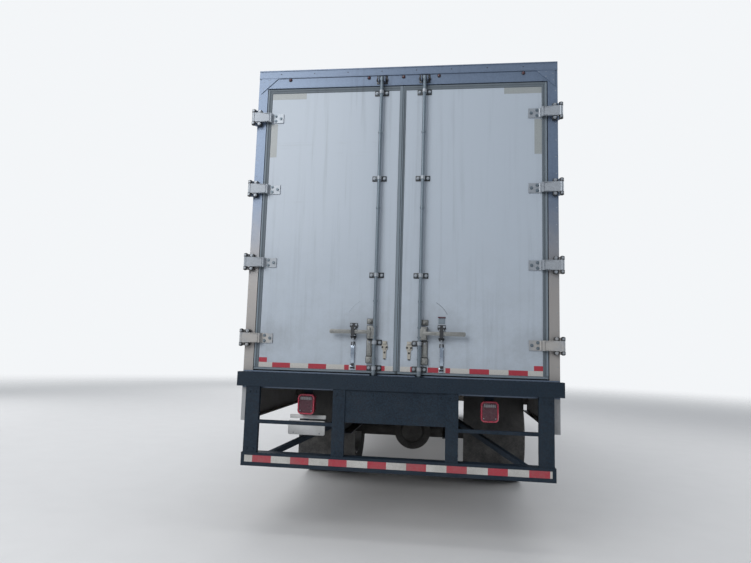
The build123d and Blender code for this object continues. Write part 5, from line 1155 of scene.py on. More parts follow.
class BOXTRUCK_OT_rear_trim(bpy.types.Operator):
    """Rivets of the rear frame, the blank number plate, and the bolts and treads of the guard"""

    bl_idname = "box_truck.rear_trim"
    bl_label = "Rear trim"

    def execute(self, context):
        sizes = context.scene.truck_sizes
        small = sizes.rivet_radius * 0.7
        bm = bmesh.new()
        for x in evenly(-1.03, 0.9545, 8):
            rear_rivet(bm, x, 0.004, 2.466, small * 1.2)
        finish_piece("cap_screws", bm, "retainer_dark", "chassis")
        bm = bmesh.new()
        for s in (-1, 1):
            for index in range(17):
                up = 0.10 + 0.135 * index
                if min(abs(up - hinge) for hinge in HINGES) > 0.075:
                    rear_rivet(bm, s * 1.203, 0.0, up, small)
            for x, up in ((1.075, 2.416), (1.13, 2.416), (1.183, 2.400), (1.185, 2.345), (1.130, 2.378)):
                rear_rivet(bm, s * x, 0.006, up, small * 0.9)
        finish_piece("rear_rivets", bm, "hardware", "chassis")

        bm = bmesh.new()
        for s in (-1, 1):
            for x in (0.405, 0.450, 1.085, 1.135):
                for up in (-0.160, -0.590):
                    rear_bolt(bm, s * x, 0.0605, up, sizes.bolt_radius * 1.1)
            for x in (0.50, 0.75, 1.0):
                rear_bolt(bm, s * x, 0.064, -0.3875, 0.006)
            for y in (0.02, 0.07):
                for z in (0.80, 0.92):
                    bolt(bm, (s * RAIL_SIDE, REAR + y, z), (s, 0, 0), sizes.bolt_radius)
        for x in (-0.34, -0.17, 0.0, 0.17, 0.34):
            rear_bolt(bm, x, 0.056, -0.150, sizes.bolt_radius * 0.8)
        finish_piece("guard_bolts", bm, "guard_black", "chassis")

        bm = bmesh.new()
        for x in evenly(-1.2, 1.2, 62):
            block(bm, (x - 0.006, REAR - 0.066, SILL - 0.0105), (x + 0.006, REAR - 0.050, SILL - 0.0075), 0.001)
        finish_piece("beam_tread", bm, "guard_black", "chassis")

        # Blank number plate on its hanger, with a pressed edge and four screws
        bm = bmesh.new()
        plate(bm, self.plate_outline(0.0, -0.1335, 0.012), (0, -0.0015, 0))
        pressed = ((0.003, -0.132), (0.004, -0.1305), (0.007, -0.1305), (0.008, -0.132))
        ring(bm, [self.plate_outline(inset, out, 0.010) for inset, out in pressed])
        finish_piece("number_plate", bm, "plate_white", "chassis")
        bm = bmesh.new()
        for x in (-0.825, -0.613):
            for up in (-0.402, -0.486):
                rear_rivet(bm, x, -0.132, up, 0.006)
        for up in ((-0.410, -0.392), (-0.492, -0.474)):
            rear_block(bm, (-0.84, -0.60), (-0.135, -0.139), up, 0.001)
        finish_piece("plate_screws", bm, "hardware", "chassis")
        bm = bmesh.new()
        rear_block(bm, (-0.853, -0.562), (-0.120, -0.134), (-0.372, -0.342), 0.003, 2)
        finish_piece("plate_holder", bm, "plate_white", "chassis")

        # Lips of the roof cap and header, and the keepers of the lock rods
        bm = bmesh.new()
        for low, high in ((2.4275, 2.4350), (2.4895, 2.4970)):
            rear_block(bm, (-1.2185, 1.2185), (0.002, 0.0085), (low, high), 0.002, 2)
        rear_block(bm, (-1.135, 1.135), (-0.001, 0.0035), (2.3405, 2.3465), 0.001)
        finish_piece("cap_lips", bm, "frame_steel", "chassis")
        bm = bmesh.new()
        for s in (-1, 1):
            rear_block(bm, span(s, 0.130, 0.218), (0.0, 0.006), (2.353, 2.424), 0.003, 2)
            for x in (0.142, 0.206):
                rear_boss(bm, s * x, (0.006, 0.018), 2.388, 0.017, 0.015, 20)
                rear_bolt(bm, s * x, 0.018, 2.388, 0.008)
        finish_piece("rod_keepers", bm, "retainer_dark", "chassis")
        return {"FINISHED"}

    def plate_outline(self, inset, out, radius):
        """The number plate's edge, or a line inside it."""
        corners = rectangle(-0.869 + inset, -0.569 - inset, -0.500 + inset, -0.388 - inset)
        return rounded([on_rear(x, out, up) for x, up in corners], radius, 4)


class BOXTRUCK_OT_wheel_trim(bpy.types.Operator):
    """Wheel nuts on their studs, hub flange bolts, hub caps and valves"""

    bl_idname = "box_truck.wheel_trim"
    bl_label = "Wheel trim"

    def around(self, x, y, z, radius, turn):
        """A place on a circle about the axle."""
        return Vector((x, y + radius * math.cos(turn), z + radius * math.sin(turn)))

    def execute(self, context):
        cap = [(0.0, 0.012), (0.035, 0.011), (0.050, 0.007), (0.056, 0.0), (0.056, -0.004), (0.0, -0.004)]
        lip = [(0.0935, -0.052), (0.0975, -0.046), (0.0975, -0.038), (0.0925, -0.034)]
        valve = ((0.0, 0.0, 0.0), (0.018, 0.004, 0.002), (0.034, 0.016, 0.006))
        for name, s in SIDES:
            for kind, face, end in (("front_wheel", 1.150, 1.205), ("rear_wheels", 0.932, 1.005)):
                low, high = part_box(f"{kind}_{name}")
                y, z = (low[1] + high[1]) / 2, (low[2] + high[2]) / 2
                nuts, caps = meshes(2)
                for index in range(10):
                    place = self.around(s * face, y, z, 0.1425, math.tau * (index + 0.5) / 10)
                    bolt(nuts, place, (s, 0, 0), 0.0165)
                    rod(nuts, place, place + Vector((s * 0.032, 0, 0)), 0.0095, 0.0085, 10)
                for index in range(8):
                    bolt(caps, self.around(s * end, y, z, 0.074, math.tau * index / 8), (s, 0, 0), 0.0072)
                spun(caps, cap, (s * end, y, z), (s, 0, 0), 32)
                spun(caps, lip, (s * end, y, z), (s, 0, 0), 40, closed=True)
                foot = self.around(s * (face + 0.004), y, z, 0.205, 0.3)
                tube(caps, [foot + Vector((s * out, along, rise)) for out, along, rise in valve], 0.0045)
                finish_piece(f"{kind}_nuts_{name}", nuts, "hardware", f"{kind}_{name}")
                finish_piece(f"{kind}_cap_{name}", caps, "cast_black", f"{kind}_{name}")
        return {"FINISHED"}


class BOXTRUCK_OT_body_trim(bpy.types.Operator):
    """Rivet rows, panel joint strips and front wall ribs on the van body"""

    bl_idname = "box_truck.body_trim"
    bl_label = "Van body trim"

    def execute(self, context):
        sizes = context.scene.truck_sizes
        rear, front = REAR + 0.10, BODY_FRONT - 0.11
        low, high = BODY_LOW + BOTTOM_RAIL, ROOF - TOP_RAIL
        radius, small = sizes.rivet_radius, sizes.rivet_radius * 0.85
        rivets, strips, ribs = meshes(3)
        for s in (-1, 1):
            for y in evenly(rear + 0.03, front - 0.03, round((front - rear) / sizes.rivet_pitch) + 1):
                for z in (BODY_LOW + 0.135, ROOF - 0.105):
                    rivet(rivets, (s * SIDE, y, z), (s, 0, 0), radius)
            # Joints between the six panels' ends, each with a strip and two rows of rivets
            for y in evenly(rear, front, 6)[1:-1]:
                across = (SIDE - 0.008, SIDE - 0.0035)
                side_block(strips, s, across, (y - 0.032, y + 0.032), (low + 0.001, high - 0.001), 0.001)
                for z in evenly(low + 0.05, high - 0.05, 20):
                    for row in (y - 0.022, y + 0.022):
                        rivet(rivets, (s * (SIDE - 0.0035), row, z), (s, 0, 0), small)
            for y in (REAR + 0.04, BODY_FRONT - 0.03):
                for z in evenly(BODY_LOW + 0.18, BODY_LOW + 2.42, 17):
                    rivet(rivets, (s * SIDE, y, z), (s, 0, 0), small)
        for x in evenly(-1.12, 1.12, 15):
            for z in (ROOF - 0.035, BODY_LOW + 0.05):
                rivet(rivets, (x, BODY_FRONT, z), FORWARD, radius)
        for z in evenly(BODY_LOW + 0.12, BODY_LOW + 2.55, 19):
            for x in (-1.19, -0.40, 0.40, 1.19):
                rivet(rivets, (x, BODY_FRONT, z), FORWARD, radius)
        finish_piece("body_rivets", rivets, "hardware", "chassis")
        finish_piece("body_joint_strips", strips, "panel_white", "chassis")

        # Upright ribs that stiffen the front wall
        for x in (-0.8, 0.8):
            along, up = (BODY_FRONT, BODY_FRONT + 0.012), (BODY_LOW + 0.02, ROOF - 0.06)
            side_block(ribs, 1, (x - 0.03, x + 0.03), along, up, 0.005, 2)
        finish_piece("front_wall_ribs", ribs, "panel_white", "chassis")
        return {"FINISHED"}


class BOXTRUCK_OT_load_space(bpy.types.Operator):
    """Roof bows, plywood lining, lashing rails and a threshold plate inside the van body"""

    bl_idname = "box_truck.load_space"
    bl_label = "Load space"

    def execute(self, context):
        rear, front = REAR + 0.12, BODY_FRONT - 0.111
        inside = SIDE - 0.0305
        bows, boards, rails, bolts, tread = meshes(5)
        for y in evenly(rear + 0.25, front - 0.20, 10):
            block(bows, (-inside, y - 0.022, ROOF - 0.062), (inside, y + 0.022, ROOF - 0.0305), 0.003)
            for s in (-1, 1):
                up = (ROOF - 0.115, ROOF - 0.058)
                side_block(bows, s, (inside, inside - 0.012), (y - 0.03, y + 0.03), up, 0.002)
        finish_piece("roof_bows", bows, "roof_metal", "chassis")

        for s in (-1, 1):
            for level in range(4):
                low = SILL + 0.012 + level * 0.152
                side_block(boards, s, (inside, inside - 0.009), (rear, front - 0.002), (low, low + 0.148), 0.002)
            for index in range(12):
                for level in range(4):
                    place = (s * (inside - 0.009), rear + 0.2 + 0.47 * index, SILL + 0.088 + level * 0.152)
                    rivet(bolts, place, (-s, 0, 0), 0.008)
            # Each lashing rail: two flat strips and the bridges between its slots
            for z in (SILL + 0.85, SILL + 1.55):
                for up in ((z - 0.055, z - 0.020), (z + 0.020, z + 0.055)):
                    side_block(rails, s, (inside, inside - 0.004), (rear + 0.1, front - 0.05), up, 0.001)
                for index in range(46):
                    y = rear + 0.14 + 0.122 * index
                    across = (inside - 0.0005, inside - 0.0095)
                    side_block(rails, s, across, (y, y + 0.055), (z - 0.024, z + 0.024), 0.002)
        for level in range(6):
            low = SILL + 0.012 + level * 0.204
            block(boards, (-inside + 0.010, front - 0.0005, low), (inside - 0.010, front - 0.012, low + 0.200), 0.002)
        finish_piece("wall_boards", boards, "floor_wood", "chassis")
        finish_piece("lashing_rails", rails, "tread_metal", "chassis")
        finish_piece("board_screws", bolts, "hardware", "chassis")

        block(tread, (-1.135, rear + 0.002, SILL), (1.135, rear + 0.19, SILL + 0.003), 0.001)
        for row in range(5):
            for index in range(44):
                x, y = -1.11 + 2.22 * (index + 0.5 * (row % 2)) / 44, rear + 0.03 + 0.033 * row
                block(tread, (x - 0.012, y - 0.003, SILL + 0.003), (x + 0.012, y + 0.003, SILL + 0.0045))
        finish_piece("threshold_plate", tread, "tread_metal", "chassis")
        return {"FINISHED"}


class BOXTRUCK_OT_cab_trim(bpy.types.Operator):
    """Rubbers round the glass, wipers, mirrors, door pulls and grab bars of the cab"""

    bl_idname = "box_truck.cab_trim"
    bl_label = "Cab trim"

    def on_screen(self, x, z, out):
        """A place on the sloping windscreen."""
        return Vector((x, 2.975 - 0.3896 * (z - 1.72) + 0.932 * out, z + 0.363 * out))

    def side_x(self, z):
        """Half width of the cab's side."""
        return 1.020 - 0.0632 * max(0.0, z - 1.70)

    def mirror_outline(self, s, low, high, grow=0.0, out=0.0):
        """A mirror's edge, or a line about it."""
        corners = rectangle(s * (1.097 - grow), s * (1.263 + grow), low - grow, high + grow)
        return rounded([(x, 2.6455 - out, z) for x, z in corners], 0.018, 4)

    def execute(self, context):
        bm = bmesh.new()
        screen = ((-0.908, 1.772), (0.908, 1.772), (0.853, 2.428), (-0.853, 2.428))
        tube(bm, rounded([self.on_screen(x, z, 0.001) for x, z in screen], 0.06, 6), 0.012, closed=True)
        corners = [(x, CAB_BACK + 0.004, z) for x, z in rectangle(-0.45, 0.45, 1.90, 2.26)]
        tube(bm, rounded(corners, 0.05, 6), 0.012, closed=True)
        finish_piece("glass_rubbers", bm, "seal_black", "chassis")

        window = ((2.035, 1.742), (2.690, 1.742), (2.690, 1.977), (2.552, 2.329), (2.044, 2.329))
        grip = ((1.018, 1.30), (1.060, 1.315), (1.066, 1.36), (1.066, 1.90), (1.058, 1.945), (1.010, 1.96))
        behind = 1.865  # the grab bars stand behind the doors
        for name, s in SIDES:
            rubber, pull, glass, rims, bar = meshes(5)
            path = rounded([(s * (self.side_x(z) - 0.001), y, z) for y, z in window], 0.03, 4)
            tube(rubber, path, 0.0085, closed=True)
            side_block(rubber, s, (1.008, 1.026), (2.04, 2.685), (1.728, 1.743), 0.003, 2)
            # Shell behind the pull handle, and the lock below it
            side_block(rubber, s, (1.014, 1.0255), (2.035, 2.185), (1.535, 1.600), 0.006, 2)
            finish_piece(f"cab_door_rubber_{name}", rubber, "seal_black", f"cab_door_{name}")
            side_block(pull, s, (1.024, 1.038), (2.048, 2.172), (1.572, 1.592), 0.004, 2)
            rod(pull, (s * 1.018, 2.055, 1.505), (s * 1.0245, 2.055, 1.505), 0.013, 0.012, 20)
            finish_piece(f"cab_door_pull_{name}", pull, "chrome", f"cab_door_{name}")
            # A tall mirror with a wide angle one below it
            edges = ((0.0015, 0.0), (0.0055, 0.0), (0.0045, 0.005), (0.0, 0.004))
            for low, high in ((1.765, 2.085), (1.690, 1.752)):
                plate(glass, self.mirror_outline(s, low, high), (0, -0.002, 0), 0.0006)
                ring(rims, [self.mirror_outline(s, low, high, *edge) for edge in edges])
            for z in (1.701, 2.079):
                for y in (2.64, 2.71):
                    bolt(rims, (s * 1.022, y, z), (s, 0, 0), 0.006)
            finish_piece(f"mirror_glass_{name}", glass, "mirror_glass", f"cab_door_{name}")
            finish_piece(f"mirror_rims_{name}", rims, "plastic_dark", f"cab_door_{name}")
            tube(bar, [(s * x, behind, z) for x, z in grip], 0.013, sides=12)
            for z in (1.30, 1.96):
                wall = self.side_x(z)
                rod(bar, (s * (wall - 0.002), behind, z), (s * (wall + 0.006), behind, z), 0.026, 0.024, 20)
            finish_piece(f"grab_bar_{name}", bar, "chrome", "chassis")

        bm = bmesh.new()
        for foot in (-0.12, 0.66):
            rod(bm, self.on_screen(foot, 1.752, -0.004), self.on_screen(foot, 1.752, 0.022), 0.017, 0.013, 16)
            # Arm, blade and bridges: across from the foot, height, and out from the screen
            parts = [(0.0065, ((0.0, 1.752, 0.010), (-0.08, 1.776, 0.026), (-0.30, 1.822, 0.026))),
                     (0.006, ((-0.56, 1.812, 0.018), (-0.30, 1.818, 0.020), (-0.03, 1.812, 0.018)))]
            for at in (-0.50, -0.40, -0.30, -0.20, -0.10):
                parts.append((0.003, ((at - 0.03, 1.815, 0.014), (at, 1.822, 0.024), (at + 0.03, 1.815, 0.014))))
            for radius, path in parts:
                tube(bm, [self.on_screen(foot + across, z, out) for across, z, out in path], radius)
        finish_piece("wipers", bm, "plastic_dark", "chassis")
        return {"FINISHED"}


class BOXTRUCK_OT_hood_trim(bpy.types.Operator):
    """Grille mesh and surround, radiator baffles, side vents, arch beads, latches and bumper strips"""

    bl_idname = "box_truck.hood_trim"
    bl_label = "Hood trim"

    def hood_x(self, y):
        """Half width of the hood's side above the fenders."""
        return 0.99 - 0.29 * (y - 2.83) / 1.585

    def execute(self, context):
        low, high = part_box("grille")
        surround, mesh = meshes(2)
        loops = []
        for grow, out in (
            (0.0, -0.010), (0.018, -0.010), (0.016, 0.006), (0.004, 0.008), (-0.004, 0.002), (-0.004, -0.006)
        ):
            corners = rectangle(low[0] - grow, high[0] + grow, low[2] - grow, high[2] + grow)
            loops.append(rounded([(x, high[1] + out, z) for x, z in corners], 0.02, 4))
        ring(surround, loops)
        finish_piece("grille_surround", surround, "chrome", "hood")
        for x in evenly(-0.455, 0.455, 60):
            rod(mesh, (x, 4.3935, low[2] + 0.03), (x, 4.3935, high[2] - 0.03), 0.0022, sides=5)
        for z in evenly(low[2] + 0.045, high[2] - 0.045, 32):
            rod(mesh, (-0.465, 4.3915, z), (0.465, 4.3915, z), 0.0022, sides=5)
        finish_piece("grille_mesh", mesh, "grille_dark", "hood")

        low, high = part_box("radiator")
        bm = bmesh.new()
        for s in (-1, 1):
            along, up = (low[1] + 0.030, low[1] + 0.036), (low[2] + 0.020, high[2] - 0.020)
            side_block(bm, s, (high[0], 0.645), along, up, 0.001)
        finish_piece("radiator_baffles", bm, "flap_rubber", "chassis")

        axle_y, axle_z, arch = 3.475, 0.5, 0.606
        vents, beads, straps, clips = meshes(4)
        for s in (-1, 1):
            slat = ((3.20, 0.001, 0.0), (3.62, 0.001, 0.0), (3.62, 0.009, -0.006), (3.20, 0.009, -0.006))
            for index in range(6):
                z = 1.335 + 0.020 * index
                corners = [(s * (self.hood_x(y) + out), y, z + rise) for y, out, rise in slat]
                plate(vents, corners, (0, 0, 0.006), 0.001)
            ends = [(s * (self.hood_x(y) - 0.002), y, z) for y, z in rectangle(3.18, 3.64, 1.322, 1.452)]
            plate(vents, rounded(ends, 0.015, 3), (s * 0.003, 0, 0), 0.0008)
            path = []
            for step in range(29):
                turn = math.radians(14 + 152 * step / 28)
                y, z = axle_y + arch * math.cos(turn), axle_z + arch * math.sin(turn)
                path.append((s * (1.1455 - max(0.0, y - 3.995) * 0.23), y, z))
            tube(beads, path, 0.011)
            # A rubber latch on its clip, at the hood's rear edge
            x, z = self.hood_x(2.99), 1.40
            for bm, across, along, half, bevel in (
                (straps, (x - 0.006, x + 0.013), (2.925, 3.055), 0.016, 0.005),
                (straps, (x + 0.008, x + 0.020), (2.935, 2.957), 0.030, 0.005),
                (clips, (x - 0.020, x + 0.004), (3.035, 3.085), 0.024, 0.003),
            ):
                side_block(bm, s, across, along, (z - half, z + half), bevel, 2)
            for rise in (0.012, -0.012):
                bolt(clips, (s * (x + 0.003), 3.074, z + rise), (s, 0, 0), 0.006)
        finish_piece("hood_vents", vents, "plastic_dark", "hood")
        finish_piece("arch_beads", beads, "seal_black", "hood")
        finish_piece("hood_straps", straps, "flap_rubber", "hood")
        finish_piece("hood_clips", clips, "hardware", "hood")

        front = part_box("front_bumper")[1][1]
        bm = bmesh.new()
        for s in (-1, 1):
            side_block(bm, s, (0.26, 0.62), (front - 0.009, front + 0.0002), (0.455, 0.468), 0.0001)
        finish_piece("bumper_strips", bm, "plastic_dark", "chassis")
        return {"FINISHED"}


class BOXTRUCK_OT_interior(bpy.types.Operator):
    """Dashboard with dials, column, pedals, and two seats with padded cushions"""

    bl_idname = "box_truck.interior"
    bl_label = "Cab interior"

    def cushion(self, name, low, high, lean, channels):
        """A crowned pad between two corners, tilted back by lean and sewn in channels."""
        low, high = Vector(low), Vector(high)
        middle, half = (low + high) / 2, (high - low) / 2
        bm = bmesh.new()
        bmesh.ops.create_cube(bm, size=2.0)
        bmesh.ops.subdivide_edges(bm, edges=bm.edges, cuts=23, use_grid_fill=True)
        thin = min(range(3), key=lambda axis: half[axis])
        wide = [axis for axis in range(3) if axis != thin]
        for vert in bm.verts:
            unit = vert.co.copy()
            a, b, t = unit[wide[0]], unit[wide[1]], unit[thin]
            crown = (1 - abs(a) ** 3.5) * (1 - abs(b) ** 3.5)
            edge = math.sqrt(max(0.0, 1 - 0.35 * max(abs(a), abs(b)) ** 8))
            rise = t * (0.62 + 0.38 * crown)
            # Seams on the upper side only: the channels, and a line inside the edge
            if t > 0:
                groove = sum(0.20 * math.exp(-((a - line) / 0.035) ** 2) * (1 - b ** 6) for line in channels)
                seam = math.exp(-((abs(a) - 0.74) / 0.03) ** 2) + math.exp(-((abs(b) - 0.80) / 0.03) ** 2)
                rise -= (groove + 0.16 * seam * crown ** 0.2) * t
            # The sides are drawn in between the corners, and towards the upper and lower faces
            pull = 1 - 0.045 * (1 - t * t) * (1 - min(abs(a), abs(b)) ** 2) - 0.10 * (t * t) ** 2
            unit[wide[0]] = a * pull * edge
            unit[wide[1]] = b * pull * edge
            unit[thin] = rise
            place = Vector(unit[axis] * half[axis] for axis in range(3))
            vert.co = middle + place + Vector((0, lean * place.z, 0))
        bmesh.ops.smooth_vert(bm, verts=bm.verts, factor=0.5, use_axis_x=True, use_axis_y=True, use_axis_z=True)
        piece = finish_piece(name, bm, "seat_fabric", "chassis", sharp=180.0)

    def execute(self, context):
        floor = 1.045  # height of the cab's floor
        frames = bmesh.new()
        for side, s in SIDES:
            x = s * 0.47
            block(frames, (x - 0.225, 2.045, floor + 0.14), (x + 0.225, 2.48, floor + 0.178), 0.01, 2)
            for offset in (-0.19, 0.19):
                post = x + offset
                for y in (2.06, 2.44):
                    block(frames, (post - 0.018, y - 0.03, floor), (post + 0.018, y + 0.03, floor + 0.145), 0.004)
                block(frames, (post - 0.022, 2.04, floor), (post + 0.022, 2.47, floor + 0.018), 0.003)
                bend = ((2.10, 0.17), (2.03, 0.27), (1.985, 0.45))
                tube(frames, [(x + offset * 1.13, y, floor + up) for y, up in bend], 0.012)
            rod(frames, (x + 0.235, 2.09, floor + 0.235), (x - 0.235, 2.09, floor + 0.235), 0.014)
            # The padded pieces: half width, along, up from the floor, lean and channels
            sewn = (-0.37, 0.0, 0.37)
            for kind, half, (rear, front), (low, high), lean, channels in (
                ("seat_base", 0.245, (2.075, 2.505), (0.18, 0.325), 0.0, sewn),
                ("seat_back", 0.235, (1.935, 2.060), (0.30, 0.80), -0.17, sewn),
                ("head_rest", 0.13, (1.880, 1.965), (0.825, 0.975), -0.10, ()),
            ):
                corners = (x - half, rear, floor + low), (x + half, front, floor + high)
                self.cushion(f"{kind}_{side}", *corners, lean, channels)
            for post in (x - 0.06, x + 0.06):
                rod(frames, (post, 1.945, floor + 0.76), (post, 1.925, floor + 0.86), 0.006)
        finish_piece("seat_frames", frames, "cast_black", "chassis")

        # The dashboard and the hood over its dials, from sections along and up
        rear, low = CAB_BACK + 1.010, 1.300
        board = ((0.0, 0.08), (-0.004, 0.17), (0.0, 0.26), (0.05, 0.335), (0.14, 0.355), (0.235, 0.205),
                 (0.235, 0.004))
        hood = ((-0.012, 0.20), (-0.020, 0.315), (0.03, 0.352), (0.12, 0.352))
        bm = bmesh.new()
        for section, left, width, bevel in ((board, -0.798, 1.596, 0.012), (hood, -0.72, 0.50, 0.010)):
            plate(bm, [(left, rear + along, low + up) for along, up in section], (width, 0, 0), bevel, 3)
        block(bm, (-0.13, rear - 0.03, low + 0.07), (0.17, rear + 0.04, low + 0.30), 0.012, 3)
        block(bm, (0.27, rear - 0.008, low + 0.12), (0.70, rear + 0.02, low + 0.24), 0.008, 2)
        finish_piece("dashboard", bm, "plastic_dark", "chassis", ["cab_interior"])

        # Dials with their pointers, knobs, and the slots of the air vents
        bm = bmesh.new()
        for x, radius in ((-0.60, 0.052), (-0.47, 0.034), (-0.34, 0.052)):
            rim = [(radius, 0.0), (radius * 1.08, 0.004), (radius, 0.007), (radius * 0.9, 0.003)]
            spun(bm, rim, (x, rear - 0.019, low + 0.258), (0, -1, 0.15), 32, closed=True)
            rod(bm, (x, rear - 0.016, low + 0.258), (x, rear - 0.024, low + 0.259), 0.005, sides=10)
            block(bm, (x - 0.002, rear - 0.0235, low + 0.258), (x + 0.002, rear - 0.0215, low + 0.258 + radius * 0.7))
        for x in evenly(-0.055, 0.095, 3):
            knob = [(0.0, 0.018), (0.014, 0.017), (0.017, 0.0), (0.0, 0.0)]
            spun(bm, knob, (x, rear - 0.03, low + 0.115), BACKWARD, 20)
        for x in (-0.74, 0.22, 0.74):
            for index in range(5):
                z = low + 0.262 + 0.011 * index
                block(bm, (x - 0.04, rear - 0.010, z), (x + 0.04, rear, z + 0.005))
        finish_piece("dials_and_knobs", bm, "tread_metal", "chassis")

        # Column between the dashboard and the wheel, its shroud, two stalks and three pedals
        low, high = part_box("steering_wheel")
        hub = (Vector(low) + Vector(high)) / 2
        axis = (Vector((hub.x, CAB_BACK + 1.06, 1.44)) - hub).normalized()
        bm = bmesh.new()
        rod(bm, hub + axis * 0.045, hub + axis * 0.285, 0.029, sides=24)
        rod(bm, hub + axis * 0.052, hub + axis * 0.200, 0.046, 0.056, 24)
        for s, drop in ((-1, 0.02), (1, -0.01)):
            start = hub + axis * 0.085
            end = start + Vector((s * 0.17, -0.035, drop))
            tube(bm, [start, start + Vector((s * 0.08, -0.005, drop / 2)), end], 0.006)
            rod(bm, end - Vector((s * 0.03, -0.006, 0)), end + Vector((s * 0.006, 0, 0)), 0.010, 0.009, 12)
        for x in (-0.62, -0.50, -0.36):
            arm = ((1.12, 0.24), (1.05, 0.14), (1.0, 0.09))
            tube(bm, [(x, CAB_BACK + along, floor + up) for along, up in arm], 0.008)
            foot = (x - 0.03, CAB_BACK + 0.985, floor + 0.06), (x + 0.03, CAB_BACK + 1.005, floor + 0.13)
            block(bm, *foot, 0.004, 2)
        finish_piece("column_and_pedals", bm, "plastic_dark", "chassis")
        return {"FINISHED"}


class BOXTRUCK_OT_underbody(bpy.types.Operator):
    """Bolts along the chassis rails, tank cap and rims, battery lid, step treads, flap strips and hangers"""

    bl_idname = "box_truck.underbody"
    bl_label = "Underbody"

    def execute(self, context):
        bm = bmesh.new()
        for s in (-1, 1):
            for index in range(20):
                for y in (-4.2 + 0.40 * index, -4.14 + 0.40 * index):
                    for z in (0.790, 0.955):
                        rivet(bm, (s * RAIL_SIDE, y, z), (s, 0, 0), 0.011)
        finish_piece("rail_bolts", bm, "cast_black", "chassis")

        # The tank is a lying cylinder; its cap slants out of it near the rear end
        low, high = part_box("fuel_tank")
        radius = (high[2] - low[2]) / 2 - 0.006
        middle = Vector((low[0] + radius + 0.006, 0, (low[2] + high[2]) / 2))
        bm = bmesh.new()
        out = Vector((-math.cos(1.0), 0, math.sin(1.0)))
        neck = middle + Vector((0, low[1] + 0.06, 0)) + out * (radius - 0.004)
        cap = [(0.0, 0.032), (0.034, 0.030), (0.040, 0.024), (0.040, 0.010), (0.030, 0.008), (0.030, -0.004),
               (0.0, -0.004)]
        spun(bm, cap, neck, out, 28)
        rim = [(radius - 0.005, 0.0), (radius + 0.001, 0.0), (radius + 0.001, -0.012), (radius - 0.005, -0.012)]
        for y, way in ((low[1] + 0.002, BACKWARD), (high[1] - 0.002, FORWARD)):
            spun(bm, rim, (middle.x, y, middle.z), way, 56, closed=True)
        finish_piece("tank_cap_and_rims", bm, "tank_metal", "chassis")

        low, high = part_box("battery_box")
        bm = bmesh.new()
        loops = []
        for grow, down in ((-0.004, 0.075), (0.005, 0.075), (0.005, 0.045), (-0.004, 0.045)):
            corners = rectangle(low[0] + 0.006 - grow, high[0] + grow, low[1] - grow, high[1] + grow)
            loops.append(rounded([(x, y, high[2] - down) for x, y in corners], 0.02, 3))
        ring(bm, loops)
        for y in (low[1] + 0.15, high[1] - 0.15):
            across, up = (high[0] - 0.002, high[0] + 0.011), (high[2] - 0.13, high[2] - 0.04)
            side_block(bm, 1, across, (y - 0.02, y + 0.02), up, 0.003, 2)
        finish_piece("battery_lid", bm, "plastic_dark", "chassis")

        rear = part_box("cab_steps")[0][1]
        bm = bmesh.new()
        for s in (-1, 1):
            for z in (0.488, 0.768):
                for row in range(3):
                    for index in range(16):
                        rivet(bm, (s * (1.012 + 0.030 * row), rear + 0.05 + 0.039 * index, z), (0, 0, 1), 0.009)
        finish_piece("step_treads", bm, "tread_metal", "chassis")

        low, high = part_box("mud_flaps")
        strips, hangers = meshes(2)
        for s in (-1, 1):
            for y, way in ((low[1], -1), (high[1], 1)):
                face = y + way * 0.004
                side_block(strips, s, (0.575, 1.150), (y, face), (high[2] - 0.085, high[2] - 0.045), 0.001)
                for index in range(5):
                    bolt(strips, (s * (0.62 + 0.12 * index), face, high[2] - 0.065), (0, way, 0), 0.008)
            side_block(strips, s, (0.575, 1.150), (low[1] - 0.003, low[1]), (low[2] + 0.012, low[2] + 0.042), 0.001)
            across, along = (high[0] - 0.006, 1.2135), (low[1] - 0.002, high[1] + 0.002)
            side_block(hangers, s, across, along, (0.90, high[2] - 0.001), 0.001)
        finish_piece("flap_strips", strips, "tread_metal", "chassis")
        finish_piece("flap_hangers", hangers, "cast_black", "chassis")
        return {"FINISHED"}


